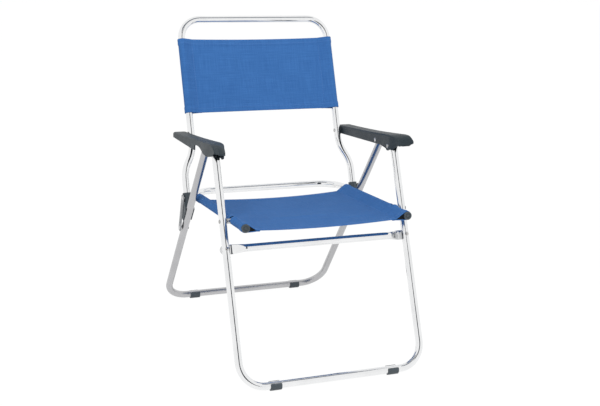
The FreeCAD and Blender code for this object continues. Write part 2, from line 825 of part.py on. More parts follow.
def make_hinge_block():
    """A socket for the upright's end above a saddle that closes on the rear leg.

    It is drawn from the hinge, with Z up the back. The leg crosses the upright's line
    below the socket. The saddle lies along the leg, behind it, and is open to the front.
    """
    body = new_body("hinge_block_left")
    middle = -size("leg_half_width")
    reach = tube_radius + size("saddle_gap")
    back = reach + size("saddle_back")
    socket_radius = tube_radius + size("block_wall")
    outline = new_sketch(body, "saddle_outline", "YZ_Plane", offset=middle - block_half)
    toe = by_saddle(size("saddle_ahead"), -size("saddle_lip"))
    heel_low = by_saddle(-size("saddle_behind"), -size("saddle_lip"))
    heel_high = by_saddle(-size("saddle_behind"), back - size("heel_round"))
    crown = by_saddle(size("heel_round") - size("saddle_behind"), back)
    shoulder = (hinge_ahead + socket_radius, -size("upright_tail"))
    brow = (hinge_ahead - socket_radius, -size("upright_tail"))
    moves = [
        ("line", *heel_high),
        ("left", *crown, size("heel_round")),
        ("line", *shoulder),
        ("line", *brow),
        ("line", *toe),
        ("line", *heel_low),
    ]
    draw_run(outline, heel_low, moves, closed=True)
    shoe = pad(body, outline, 2 * block_half, name="shoe")

    def side_edge(edge):
        """An edge of one of the two side faces."""
        return edge.BoundBox.XLength < NEAR

    fillet(body, shoe, size("block_edge"), side_edge)
    socket = new_sketch(body, "socket_round", "XY_Plane", offset=back - saddle_down_back)
    draw_circle(socket, middle, hinge_ahead, socket_radius)
    pad(body, socket, size("block_rise") + saddle_down_back - back, name="socket")
    bore = new_sketch(body, "socket_bore", "XY_Plane", offset=size("block_rise"))
    draw_circle(bore, middle, hinge_ahead, tube_radius)
    pocket(body, bore, size("block_rise") + size("upright_tail"), name="upright_seat")
    slot = new_sketch(
        body,
        "leg_section",
        "XY_Plane",
        offset=-saddle_down_back,
        side=hinge_ahead,
        turn=leg_on_back,
    )
    moves = [
        ("line", middle + reach, 0),
        ("bend", middle - reach, 0),
        ("line", middle - reach, -2 * back),
        ("line", middle + reach, -2 * back),
    ]
    draw_run(slot, (middle + reach, -2 * back), moves, closed=True)
    pocket(body, slot, midplane=True, name="leg_slot")
    drill_across(body, [(0, 0, size("shank_radius"))])
    place(body, HINGE, -lean(size("back_slope")))
    return body


link_length = keep("link_length", size("link_drop") * link_stretch)


def draw_slot(sketch, radius, top, bottom):
    """A straight slot up the sketch, round at both ends."""
    moves = [
        ("line", radius, top),
        ("bend", -radius, top),
        ("line", -radius, bottom),
        ("bend", radius, bottom),
    ]
    draw_run(sketch, (radius, bottom), moves, closed=True)


def make_link():
    """A steel strip with a pressed rib, drawn from the hinge down to its lower pivot."""
    body = new_body("link_left")
    half = size("link_width") / 2
    strip = new_sketch(body, "strip", "YZ_Plane", offset=-link_outer)
    draw_slot(strip, half, 0, -link_length)
    pad(body, strip, size("link_plate"), name="strip_pad")
    rib_half = size("link_rib") / 2
    rib = new_sketch(body, "rib", "YZ_Plane", offset=-link_outer - size("link_rib_depth"))
    draw_slot(rib, rib_half, -size("link_width"), size("link_width") - link_length)
    pad(body, rib, size("link_rib_depth") + size("link_plate") / 2, name="rib_pad")
    groove = new_sketch(body, "groove", "YZ_Plane", offset=-link_inner)
    groove_half = rib_half - size("link_plate") / 2
    draw_slot(groove, groove_half, -size("link_width"), size("link_width") - link_length)
    pocket(body, groove, size("link_rib_depth"), name="rib_hollow")
    loose = size("shank_radius") + size("running_gap")
    drill_across(body, [(0, 0, loose), (0, -link_length, size("shank_radius"))])
    place(body, HINGE, lean(link_slope))
    return body


# ---------------------------------------------------------------- glides and plugs


def make_foot(label, bar):
    """A glide that snaps over the floor bar from below, flat where it stands."""
    body = new_body(label)
    outer = bar_height + size("foot_flat")
    mouth = size("foot_mouth")
    flat_half = root(outer * outer - bar_height * bar_height)
    inner_half = root(tube_radius * tube_radius - mouth * mouth)
    outer_half = root(outer * outer - mouth * mouth)
    start = size("foot_inset") - size("leg_half_width") - size("foot_length") / 2
    section = new_sketch(body, "section", "YZ_Plane", offset=start)
    moves = [
        ("left", 0, -tube_radius, tube_radius),
        ("bend", inner_half, mouth),
        ("line", outer_half, mouth),
        ("right", flat_half, -bar_height, outer),
        ("line", -flat_half, -bar_height),
        ("right", -outer_half, mouth, outer),
        ("line", -inner_half, mouth),
    ]
    draw_run(section, (-inner_half, mouth), moves, closed=True)
    pad(body, section, size("foot_length"))
    place(body, bar)
    return body


def make_plug():
    """A round end plug with a turned face, its shank inside the rail."""
    body = new_body("seat_plug_left")
    sketch = new_sketch(body, "half_section", "XY_Plane")
    end = -rail_length
    shank = bore_radius - size("running_gap")
    head, face = tube_radius + size("plug_lip"), end - size("plug_head")
    edge = size("plug_edge")
    moves = [
        ("line", 0, face),
        ("line", head / 2 - edge, face),
        ("line", head / 2, face + edge),
        ("line", head / 2 + edge, face),
        ("line", head - edge, face),
        ("left", head, face + edge, edge),
        ("line", head, end),
        ("line", shank, end),
        ("line", shank, end + size("plug_length") - edge),
        ("line", shank - edge, end + size("plug_length")),
        ("line", 0, end + size("plug_length")),
    ]
    draw_run(sketch, (0, end + size("plug_length")), moves, closed=True)
    turn_about(body, sketch, "V_Axis")
    place_on_seat(body, -seat_half_width)
    return body


# ---------------------------------------------------------------- armrest

# Places on the armrest, from the upright's pivot.
front_y = keep("arm_front_y", -size("pivot_span"))
front_z = size("pivot_drop")
rear_y = keep("arm_rear_y", front_y + size("rear_pivot_back"))
rear_z = keep("arm_rear_z", front_z + size("rear_pivot_rise"))
nose_y = keep("nose_y", front_y - size("nose_reach"))
nose_z = keep("nose_z", front_z + size("nose_rise"))
nose_foot_y = keep("nose_foot_y", nose_y - size("nose_radius") + size("nose_tuck"))
nose_foot_z = keep("nose_foot_z", nose_z + size("nose_tip_rise"))
arm_outer = keep("arm_outer", arm_inner + size("arm_width") + size("arm_flare"))
# The nose's square front, and the slanted side from it back to the inner side.
nose_front_y = keep("nose_front_y", nose_foot_y + size("nose_flat"))
square_x = keep("square_x", size("nose_front") - arm_outer)
slant_y = keep("slant_y", front_y - size("nose_slant"))
slant_slope = keep("slant_slope", (-arm_inner - square_x) / (slant_y - nose_front_y))
slant_stretch = stretch("slant_stretch", slant_slope)
# Clear of the armrest's outline on any side.
arm_beyond = keep("arm_beyond", size("arm_tail_depth") + 3 * size("nose_radius"))
# The top is an arc from the tail to the nose's round, hollow by arm_dip.
top_front_y = keep("top_front_y", nose_y + size("nose_lean"))
top_front_z = keep("top_front_z", nose_z + size("nose_radius"))
top_run = keep("top_run", size("arm_tail") - top_front_y)
dip_radius = keep("dip_radius", top_run * top_run / (8 * size("arm_dip")))


def arm_side_view(body):
    """The armrest's outline from the side, with the skirt round the front pivot."""
    sketch = new_sketch(body, "side_view", "YZ_Plane", offset=-arm_outer)
    skirt, half = size("pivot_skirt"), size("skirt_half")
    tail, low = size("arm_tail"), -size("arm_tail_depth")
    edge_z = front_z - root(skirt * skirt - half * half)
    start = (tail, low + size("tail_round"))
    moves = [
        ("line", tail, size("arm_tail_rise")),
        ("right", top_front_y, top_front_z, dip_radius),
        ("bend", nose_foot_y, nose_foot_z),
        ("bend", nose_foot_y + size("nose_lip"), nose_foot_z - size("nose_lip")),
        ("line", front_y - 2 * half, edge_z),
        ("line", front_y - half, edge_z),
        ("left", front_y + half, edge_z, skirt),
        ("line", front_y + size("skirt_run"), front_z - size("skirt_rise")),
        ("line", tail - size("tail_round"), low),
        ("bend", *start),
    ]
    draw_run(sketch, start, moves, closed=True)
    return sketch


def arm_core_side_view(body):
    """The hollow's outline from the side: under the roof, open below."""
    sketch = new_sketch(body, "core_side_view", "YZ_Plane", offset=-arm_outer)
    roof, tail = size("arm_roof"), size("arm_tail") - size("arm_wall")
    front = nose_foot_y + roof
    moves = [
        ("line", tail, size("arm_tail_rise") - roof),
        ("right", top_front_y, top_front_z - roof, dip_radius),
        ("bend", front, nose_foot_z),
        ("line", front, -arm_beyond),
        ("line", tail, -arm_beyond),
    ]
    draw_run(sketch, (tail, -arm_beyond), moves, closed=True)
    return sketch


def trim_to_plan(body, skin, corner):
    """Cuts a form to the armrest's plan, drawn smaller by skin, with round corners."""
    inner = -(arm_inner + skin)
    wide = skin - arm_outer
    narrow = wide + size("arm_flare")
    tail = size("arm_tail") - skin
    front = nose_front_y + skin
    slant = slant_y + skin * (slant_stretch - 1) / slant_slope
    square = square_x - skin * (slant_stretch - slant_slope)
    flare_from = front_y - size("flare_front")
    flare_to = front_y + size("flare_rear")
    plan = new_sketch(body, "plan", "XY_Plane")
    moves = [
        ("line", square, front),
        ("line", wide + corner, front),
        ("bend", wide, front + corner),
        ("line", wide, flare_from),
        ("bend", (wide + narrow) / 2, (flare_from + flare_to) / 2),
        ("bend", narrow, flare_to),
        ("line", narrow, tail - corner),
        ("bend", narrow + corner, tail),
        ("line", inner - corner, tail),
        ("bend", inner, tail - corner),
        ("line", inner, slant),
    ]
    draw_run(plan, (inner, slant), moves, closed=True)
    near, far = arm_beyond - arm_inner, -arm_outer - arm_beyond
    behind, ahead = arm_beyond, nose_y - arm_beyond
    moves = [
        ("line", near, behind),
        ("line", far, behind),
        ("line", far, ahead),
        ("line", near, ahead),
    ]
    draw_run(plan, (near, ahead), moves, closed=True)
    cut = pocket(body, plan, midplane=True, name="plan_cut")

    def slant_corner(edge):
        """An upright edge at either end of the nose's slanted side."""
        box = edge.BoundBox
        if box.XLength > NEAR or box.YLength > NEAR:
            return False
        at_inner = abs(box.XMin - inner.value) + abs(box.YMin - slant.value) < NEAR
        at_square = abs(box.XMin - square.value) + abs(box.YMin - front.value) < NEAR
        return at_inner or at_square

    return fillet(body, cut, corner, slant_corner, name="plan_corners")


def make_armrest():
    """A moulded channel, open below, with bosses on its inner wall for three rivets."""
    wall = size("arm_wall")
    core = new_body("armrest_core")
    pad(core, arm_core_side_view(core), arm_outer - arm_inner, name="core_form")
    trim_to_plan(core, wall, size("nose_corner") - wall)
    body = new_body("armrest_left")
    pad(body, arm_side_view(body), arm_outer - arm_inner, name="side_form")
    corners = trim_to_plan(body, 0, size("nose_corner"))

    def top_edge(edge):
        """An edge of the top, from the tail to where the nose turns down."""
        low = min(v.Point.z - lowest_top(v.Point.y) for v in edge.Vertexes)
        return low > -NEAR

    def lowest_top(y):
        """A height just under the top at y: its chord less the dip, or the nose's foot."""
        if y < top_front_y.value:
            return nose_foot_z.value
        rise = top_front_z.value - size("arm_tail_rise").value
        fall = rise * (y - top_front_y.value) / top_run.value
        return top_front_z.value - fall - size("arm_dip").value

    fillet(body, corners, size("arm_edge"), top_edge, name="soft_top")
    hollow = body.newObject("PartDesign::Boolean", "hollow")
    hollow.Type = "Cut"
    hollow.setObjects([core])
    hood = new_sketch(body, "hood_edge", "YZ_Plane", offset=-leg_outer)
    arch_y = front_y + size("hood_run")
    arch_foot = front_z - size("hood_foot")
    arch_top = arch_foot + size("arch_step")
    arch_end = arch_top - size("arch_fall")
    past_nose = nose_y - size("nose_radius") - wall
    moves = [
        ("line", arm_beyond, -size("hood_drop")),
        ("line", arch_y, arch_foot),
        ("line", arch_y, arch_top),
        ("left", arch_y - size("arch_length"), arch_end, size("arch_radius")),
        ("line", front_y - size("boss_radius"), front_z - size("arch_fall")),
        ("line", past_nose, nose_foot_z + wall),
        ("line", past_nose, -arm_beyond),
        ("line", arm_beyond, -arm_beyond),
    ]
    draw_run(hood, (arm_beyond, -arm_beyond), moves, closed=True)
    pocket(body, hood, arm_outer - leg_outer + wall, name="hood_cut")
    for name, y, z, end in (
        ("upright_boss", 0, 0, arm_boss_end),
        ("rear_boss", rear_y, rear_z, boss_end),
        ("front_boss", front_y, front_z, boss_end),
    ):
        boss = new_sketch(body, name, "YZ_Plane", offset=-end)
        draw_circle(boss, y, z, size("boss_radius"))
        pad(body, boss, end - arm_inner - wall / 2, name=name + "_pad")
    loose = size("shank_radius") + size("running_gap")
    drill_across(body, [(0, 0, loose), (rear_y, rear_z, loose), (front_y, front_z, loose)])
    place(body, ARM_PIVOT)
    return body


# ---------------------------------------------------------------- fabric

fabric_inner = keep("fabric_inner", tube_radius + size("fabric_gap"))
fabric_outer = keep("fabric_outer", fabric_inner + size("fabric_thickness"))


def draw_band(sketch, half_width, near, far, sag):
    """A band between two sleeves, hanging by the sag; near and far are its faces."""
    radius = (half_width * half_width + sag * sag) / (2 * sag)
    turns = ("left", "right") if far.value > 0 else ("right", "left")
    moves = [
        (turns[0], half_width, far, radius),
        ("line", half_width, near),
        (turns[1], -half_width, near, radius),
        ("line", -half_width, far),
    ]
    draw_run(sketch, (-half_width, far), moves, closed=True)


def draw_sleeves(sketch, half_width):
    for side in (-1, 1):
        draw_circle(sketch, side * half_width, 0, fabric_inner)
        draw_circle(sketch, side * half_width, 0, fabric_outer)


def make_seat_panel():
    """A sleeve round each rail, and the band between them, hollow at its free edges."""
    body = new_body("seat_panel")
    half_width = seat_half_width
    rear = size("seat_tail") + size("seat_rear_gap")
    front = rail_length - size("seat_front_gap")
    band = new_sketch(body, "band_section", "XZ_Plane", offset=rear)
    draw_band(band, half_width, fabric_inner, fabric_outer, size("seat_sag"))
    pad(body, band, front - rear, name="band")
    sleeves = new_sketch(body, "sleeve_sections", "XZ_Plane", offset=rear)
    draw_sleeves(sleeves, half_width)
    pad(body, sleeves, front - rear, name="sleeves")
    edges = new_sketch(body, "free_edges", "XY_Plane")
    clear = half_width - 2 * fabric_outer
    hollow = size("seat_hollow")
    radius = (clear * clear + hollow * hollow) / (2 * hollow)
    past = size("fabric_thickness")
    for edge, outside, turn in ((front, front + past, "right"), (rear, rear - past, "left")):
        moves = [
            ("line", -clear, -edge),
            (turn, clear, -edge, radius),
            ("line", clear, -outside),
            ("line", -clear, -outside),
        ]
        draw_run(edges, (-clear, -outside), moves, closed=True)
    pocket(body, edges, midplane=True, name="hollow_edges")
    notch_half = fabric_outer + size("fabric_thickness")
    for side, name in ((-1, "left_notch"), (1, "right_notch")):
        notch = new_sketch(body, name, "YZ_Plane", offset=side * half_width + notch_half)
        draw_circle(notch, -pivot_up_rail, 0, size("sleeve_notch"))
        pocket(body, notch, 2 * notch_half, name=name + "_cut")
    place_on_seat(body)
    return body


def make_back_panel():
    """A sleeve round each upright, and the band across their front."""
    body = new_body("back_panel")
    half_width = back_half_width
    height = size("back_band_height") * back_stretch
    low = -(size("top_bend") + height)
    band = new_sketch(body, "band_section", "XY_Plane", offset=low)
    draw_band(band, half_width, -fabric_inner, -fabric_outer, size("back_sag"))
    pad(body, band, height, name="band")
    sleeves = new_sketch(body, "sleeve_sections", "XY_Plane", offset=low)
    draw_sleeves(sleeves, half_width)
    pad(body, sleeves, height, name="sleeves")
    place(body, TOP_BAR, -lean(size("back_slope")))
    return body


# ---------------------------------------------------------------- the whole chair

BOTH_SIDES = [
    (make_hinge_block(), "hinge_block_right"),
    (make_armrest(), "armrest_right"),
    (make_plug(), "seat_plug_right"),
    (make_link(), "link_right"),
    (make_foot("front_foot_left", FRONT_BAR), "front_foot_right"),
    (make_foot("rear_foot_left", REAR_BAR), "rear_foot_right"),
]
PIECES = [
    make_back_frame(),
    make_back_panel(),
    make_seat_frame(),
    make_seat_panel(),
    make_front_leg_frame(),
    make_rear_leg_frame(),
    make_stretcher(),
    make_stretcher_rivets(),
]
PIECES += make_rivets()
for left, right_label in BOTH_SIDES:
    PIECES += [left, mirrored(left, right_label)]

doc.recompute()
for item in doc.Objects:
    if "Invalid" in item.State or "Error" in item.State:
        raise RuntimeError("%s did not build" % item.Label)
for piece in PIECES:
    if piece.Shape.isNull() or not piece.Shape.isValid():
        raise RuntimeError("%s has no valid shape" % piece.Label)
os.makedirs("parts", exist_ok=True)
for piece in PIECES:
    piece.Shape.exportStep("parts/%s.step" % piece.Label)
    count = len(piece.Shape.Solids)
    print("%-20s %2d solids %9.0f mm3" % (piece.Label, count, piece.Shape.Volume))
for name in ("hinge", "arm_pivot", "front_pivot", "rear_pivot", "seat_pivot", "link_pivot"):
    run, height = getattr(layout, name + "_y"), getattr(layout, name + "_z")
    print("%-12s y %.4f z %.4f" % (name, run, height))
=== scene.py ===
# %% [markdown]
# # A folding camp chair
# The chair is a frame of bent aluminium tube with moulded armrests, a cloth seat and a cloth
# back band. The frame, the rivets and most mouldings come in as finished solids. What is
# made here is the cloth and its sewing, the armrests' rolled noses, the pressed stretcher,
# two small wedges, every surface finish, and the light.

# %% Load the frame and keep its size
import json
import math
import bmesh
import bpy
import numpy as np
from mathutils import Matrix, Vector

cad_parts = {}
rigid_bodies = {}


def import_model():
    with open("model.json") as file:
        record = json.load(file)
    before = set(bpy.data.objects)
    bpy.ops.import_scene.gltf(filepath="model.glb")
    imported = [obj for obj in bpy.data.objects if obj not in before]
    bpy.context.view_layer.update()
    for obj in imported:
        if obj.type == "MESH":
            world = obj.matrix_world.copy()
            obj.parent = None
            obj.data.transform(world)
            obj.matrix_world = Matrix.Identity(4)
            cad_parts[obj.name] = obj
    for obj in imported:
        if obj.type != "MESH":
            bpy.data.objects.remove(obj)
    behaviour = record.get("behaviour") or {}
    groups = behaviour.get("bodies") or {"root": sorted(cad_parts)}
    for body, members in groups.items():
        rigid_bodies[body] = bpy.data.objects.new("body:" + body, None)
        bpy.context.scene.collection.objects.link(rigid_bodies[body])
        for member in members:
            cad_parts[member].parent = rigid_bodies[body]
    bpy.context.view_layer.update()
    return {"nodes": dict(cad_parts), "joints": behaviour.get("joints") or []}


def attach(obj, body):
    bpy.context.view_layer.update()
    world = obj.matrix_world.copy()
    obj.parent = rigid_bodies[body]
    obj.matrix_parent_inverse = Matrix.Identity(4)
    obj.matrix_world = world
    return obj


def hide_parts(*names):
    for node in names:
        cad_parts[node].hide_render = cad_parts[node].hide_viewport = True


for leftover in list(bpy.data.objects):
    bpy.data.objects.remove(leftover)
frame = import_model()
PIVOT = {joint["name"]: np.array(joint["pos_m"]) for joint in frame["joints"]}
HINGE, ARM_PIVOT = PIVOT["seat_fold"], PIVOT["armrest_fold"]
MM = 0.001
print("frame nodes:", len(frame["nodes"]))

# %% [markdown]
# ## The camera
# The chair is seen from its front and a little from its right hand side, from about the
# height of a standing person's chest. The view is set by three turns, as a surveyor's
# instrument is: around the upright, up or down, and a small roll about the line of sight.

# %% Set the camera
def aim(yaw, pitch, roll, place):
    """The camera's matrix: its line of sight from yaw and pitch, then rolled about it."""
    level = math.cos(pitch)
    sight = Vector((math.sin(yaw) * level, math.cos(yaw) * level, math.sin(pitch)))
    right = sight.cross(Vector((0, 0, 1))).normalized()
    up = right.cross(sight)
    rolled_right = math.cos(roll) * right + math.sin(roll) * up
    rolled_up = math.cos(roll) * up - math.sin(roll) * right
    matrix = Matrix((rolled_right, rolled_up, -sight)).transposed().to_4x4()
    matrix.translation = Vector(place)
    return matrix


TURN, DIP, LEAN_OVER = 0.3929, -0.2668, 0.0371     # yaw, pitch and roll, in radians
STAND = (-1.13141, -2.80398, 1.21373)              # where it stands, in metres
SENSOR, LENS = 36.0, 67.54                         # width and focal length, in millimetres
camera = bpy.data.objects.new("camera", bpy.data.cameras.new("camera"))
bpy.context.scene.collection.objects.link(camera)
camera.matrix_world = aim(TURN, DIP, LEAN_OVER, STAND)
camera.data.sensor_width, camera.data.lens = SENSOR, LENS
bpy.context.scene.camera = camera
print("camera looks along", [round(v, 3) for v in -camera.matrix_world.col[2].xyz])

# %% [markdown]
# ## Building materials from nodes
# A finish is a small network: coordinates, a few textures, and one surface shader. Short
# helpers keep each network readable. `wire` makes a node and fills its inputs, with plain
# values or with the outputs of other nodes, so a network reads like a formula.

# %% Node helpers
def fill(tree, socket, value):
    """Links another node's output to a socket, or sets a plain value on it."""
    if isinstance(value, bpy.types.NodeSocket):
        tree.links.new(value, socket)
    else:
        socket.default_value = value


def wire(tree, kind, inputs=None, out=0, **settings):
    """Adds a node, sets its fields, fills its inputs by name or number, returns one output."""
    node = tree.nodes.new("ShaderNode" + kind)
    for field, value in settings.items():
        setattr(node, field, value)
    for key, value in (inputs or {}).items():
        fill(tree, node.inputs[key], value)
    return node.outputs[out]


def calc(tree, operation, *terms):
    """One Math node: the operation on one to three terms."""
    return wire(tree, "Math", dict(enumerate(terms)), operation=operation)


def remap(tree, value, low, high, to_low=0.0, to_high=1.0):
    """Maps low..high to to_low..to_high and stops at both ends."""
    ends = {"From Min": low, "From Max": high, "To Min": to_low, "To Max": to_high}
    return wire(tree, "MapRange", {"Value": value, **ends})


def blend_colour(tree, factor, first, second):
    """A colour that goes from first to second as factor goes from 0 to 1."""
    return wire(tree, "Mix", {0: factor, 6: first, 7: second}, out=2, data_type="RGBA")


def noise(tree, place, scale, detail=2.0, roughness=0.5):
    """Smooth random values around 0.5, scale of them to the metre."""
    inputs = {"Vector": place, "Scale": scale, "Detail": detail, "Roughness": roughness}
    return wire(tree, "TexNoise", inputs)


def stretched(tree, place, turn_x, stretch):
    """The coordinates turned about X and scaled, so that a pattern is drawn out along a line."""
    return wire(tree, "Mapping", {"Vector": place, "Rotation": (turn_x, 0, 0), "Scale": stretch})


print("node helpers ready")

# %% [markdown]
# ## Effects that several finishes share
# Draw lines on tube, the grain of moulded plastic, the light wear and painted sheen on edges,
# and the weave of the cloth are each used by more than one finish. Each is a node group with
# named inputs, so the same effect can be fine on one piece and coarse on another.

# %% Start an effect group
def new_effect(name, inputs, outputs):
    """A shader node group with float or vector sockets; returns the tree and its input node."""
    tree = bpy.data.node_groups.new(name, "ShaderNodeTree")
    for label, default in inputs:
        kind = "NodeSocketVector" if default is None else "NodeSocketFloat"
        socket = tree.interface.new_socket(name=label, in_out="INPUT", socket_type=kind)
        if default is not None:
            socket.default_value = default
    for label in outputs:
        tree.interface.new_socket(name=label, in_out="OUTPUT", socket_type="NodeSocketFloat")
    return tree, tree.nodes.new("NodeGroupInput").outputs


def close_effect(tree, **outputs):
    """Joins worked-out values to the group's outputs."""
    end = tree.nodes.new("NodeGroupOutput")
    for label, value in outputs.items():
        tree.links.new(value, end.inputs[label])
    print("effect", tree.name, "with", len(tree.nodes), "nodes")


def use_effect(tree, effect, **inputs):
    """Places an effect in a material and returns its outputs by name."""
    node = tree.nodes.new("ShaderNodeGroup")
    node.node_tree = effect
    for label, value in inputs.items():
        fill(tree, node.inputs[label], value)
    return node.outputs


# %% Draw lines: fine marks along a drawn tube, and the haze of handling
def make_draw_lines():
    """Noise drawn out along the tube gives lines; broad noise gives handling haze."""
    tree, given = new_effect(
        "draw_lines", [("Place", None), ("Haze size", 14.0)], ["Lines", "Haze", "Nicks"])
    lines = noise(tree, stretched(tree, given["Place"], 0.41, (900, 900, 14)), 1.0, 3.0, 0.6)
    haze = noise(tree, given["Place"], given["Haze size"], 3.0, 0.6)
    specks = wire(tree, "TexVoronoi", {"Vector": given["Place"], "Scale": 160.0}, feature="F1")
    nicks = remap(tree, specks, 0.02, 0.07, 1.0, 0.0)
    rare = remap(tree, noise(tree, given["Place"], 23.0, 1.0), 0.58, 0.66)
    close_effect(tree, Lines=lines, Haze=haze, Nicks=calc(tree, "MULTIPLY", nicks, rare))
    return tree


DRAW_LINES = make_draw_lines()

# %% Moulded grain: the spark-eroded texture of an injection mould
def make_mould_grain():
    """Small rounded pits: a Voronoi distance softened by fine noise; a slow drift of tone."""
    tree, given = new_effect(
        "mould_grain", [("Place", None), ("Grain", 900.0)], ["Height", "Tone"])
    pit = {"Vector": given["Place"], "Scale": given["Grain"]}
    cells = wire(tree, "TexVoronoi", pit, feature="SMOOTH_F1")
    fine = noise(tree, given["Place"], given["Grain"], 2.0, 0.7)
    tone = noise(tree, given["Place"], 24.0, 3.0, 0.55)
    close_effect(tree, Height=calc(tree, "MULTIPLY_ADD", fine, 0.6, cells), Tone=tone)
    return tree


MOULD_GRAIN = make_mould_grain()

# %% Edge wear and painted sheen: how far the rounded normal departs from the true one
def make_edge_wear_and_sheen():
    """Mask, 1 on a sharp edge and 0 on a flat: 1 minus the dot of both normals, broken up."""
    tree, given = new_effect(
        "edge_wear_and_sheen", [("Place", None), ("Width", 0.0015), ("Break up", 60.0)], ["Rub"])
    # The mask serves real wear and also a painted highlight along edges.
    rounded = wire(tree, "Bevel", {"Radius": given["Width"]}, samples=4)
    true = wire(tree, "NewGeometry", out=1)
    agree = wire(tree, "VectorMath", {0: rounded, 1: true}, out=1, operation="DOT_PRODUCT")
    edge = remap(tree, calc(tree, "SUBTRACT", 1.0, agree), 0.01, 0.12)
    broken = remap(tree, noise(tree, given["Place"], given["Break up"], 4.0, 0.6), 0.35, 0.65)
    close_effect(tree, Rub=calc(tree, "MULTIPLY", edge, broken))
    return tree


EDGE_WEAR_AND_SHEEN = make_edge_wear_and_sheen()

# %% Plain weave: threads over and under each other, in the coordinates of the cut cloth
def make_plain_weave():
    """Two sine ridges, across and along; a checkerboard says which one lies on top."""
    tree, given = new_effect(
        "plain_weave", [("Cut", None), ("Threads", 1300.0), ("Slub", 1.0)],
        ["Height", "Tone", "Wear"])
    split = tree.nodes.new("ShaderNodeSeparateXYZ")
    tree.links.new(given["Cut"], split.inputs[0])
    half_turn = calc(tree, "MULTIPLY", given["Threads"], math.pi)
    turns = [calc(tree, "MULTIPLY", split.outputs[axis], half_turn) for axis in (0, 1)]
    warp, weft = (calc(tree, "ABSOLUTE", calc(tree, "SINE", turn)) for turn in turns)
    over = wire(tree, "TexChecker", {"Vector": given["Cut"], "Scale": given["Threads"]}, out=1)
    height = wire(tree, "Mix", {0: over, 2: warp, 3: weft}, data_type="FLOAT")
    thick_warp = noise(tree, stretched(tree, given["Cut"], 0.0, (420, 16, 1)), 1.0, 2.0)
    thick_weft = noise(tree, stretched(tree, given["Cut"], 0.0, (16, 420, 1)), 1.0, 2.0)
    slub = calc(tree, "MULTIPLY", calc(tree, "ADD", thick_warp, thick_weft), given["Slub"])
    wear = noise(tree, given["Cut"], 9.0, 4.0, 0.6)
    close_effect(tree, Height=height, Tone=slub, Wear=wear)
    return tree


PLAIN_WEAVE = make_plain_weave()

# %% [markdown]
# ## Aluminium tube
# The tube is drawn, bent and polished. Drawing leaves faint lines along it, and handling
# leaves a haze that only shows as a change of gloss. Metal has no colour of its own under
# its reflections, so nearly all of the variation goes into roughness and a very small bump.

# %% Aluminium finishes
def start_material(name, coordinate="Object"):
    """A material with a fresh Principled shader: returns it, its tree, shader, coordinates."""
    material = bpy.data.materials.new(name)
    material.use_nodes = True
    tree = material.node_tree
    shader = tree.nodes["Principled BSDF"]
    place = wire(tree, "TexCoord", out={"Object": 3, "UV": 2}[coordinate])
    return material, tree, shader, place


def join(tree, shader, **inputs):
    """Links outputs to the shader's sockets, or sets plain values; underscores are spaces."""
    for label, value in inputs.items():
        fill(tree, shader.inputs[label.replace("_", " ")], value)


def bump(tree, height, distance, strength=1.0, normal=None):
    """A Bump node of that depth in metres."""
    inputs = {"Height": height, "Distance": distance, "Strength": strength}
    if normal is not None:
        inputs["Normal"] = normal
    return wire(tree, "Bump", inputs)


def make_aluminium(name, colour, gloss_low, gloss_high, line_depth):
    """Drawn aluminium: roughness runs from gloss_low to gloss_high with lines and haze."""
    material, tree, shader, place = start_material(name)
    marks = use_effect(tree, DRAW_LINES, Place=place)
    hazy = calc(tree, "MULTIPLY", marks["Haze"], 0.55)
    mixed = calc(tree, "MULTIPLY_ADD", marks["Lines"], 0.45, hazy)
    rough = remap(tree, mixed, 0.3, 0.7, gloss_low, gloss_high)
    rough = calc(tree, "MULTIPLY_ADD", marks["Nicks"], 0.15, rough)
    dull = tuple(0.93 * c for c in colour)
    tone = blend_colour(tree, remap(tree, marks["Haze"], 0.35, 0.7), (*colour, 1), (*dull, 1))
    join(tree, shader, Base_Color=tone, Metallic=1.0, Roughness=rough)
    join(tree, shader, Normal=bump(tree, marks["Lines"], line_depth, 0.5))
    print("finish", name)
    return material


POLISHED = make_aluminium("polished_aluminium", (0.86, 0.865, 0.87), 0.07, 0.15, 0.00001)
# A copy of the same tube's finish for the rear legs, rougher and darker in colour: the darker
# colour is painted shade.
SATIN_SHADED = make_aluminium("satin_shaded_aluminium", (0.52, 0.52, 0.53), 0.26, 0.38, 0.00002)

# %% [markdown]
# ## Steel rivets, washers and links
# The rivets are taken to be plated steel, duller and warmer than the tube. The links are
# pressed strip, painted grey.

# %% Steel finishes
def make_plated_steel():
    """Zinc plate: slightly yellow-grey patches, fine pitting, edges brighter: wear and painted
    highlight.
    """
    material, tree, shader, place = start_material("plated_steel")
    crystals = wire(tree, "TexVoronoi", {"Vector": place, "Scale": 420.0}, out=0, feature="F1")
    patches = noise(tree, place, 70.0, 3.0)
    rub_and_sheen = use_effect(tree, EDGE_WEAR_AND_SHEEN, Place=place, Width=0.0006)["Rub"]
    patchy = remap(tree, patches, 0.35, 0.65)
    base = blend_colour(tree, patchy, (0.60, 0.60, 0.61, 1), (0.52, 0.51, 0.49, 1))
    # Edges brighter in colour: partly wear, partly a painted highlight.
    base = blend_colour(tree, rub_and_sheen, base, (0.78, 0.78, 0.79, 1))
    rough = remap(tree, patches, 0.3, 0.7, 0.22, 0.36)
    join(tree, shader, Base_Color=base, Metallic=1.0, Roughness=rough)
    join(tree, shader, Normal=bump(tree, crystals, 0.00003, 0.6))
    return material


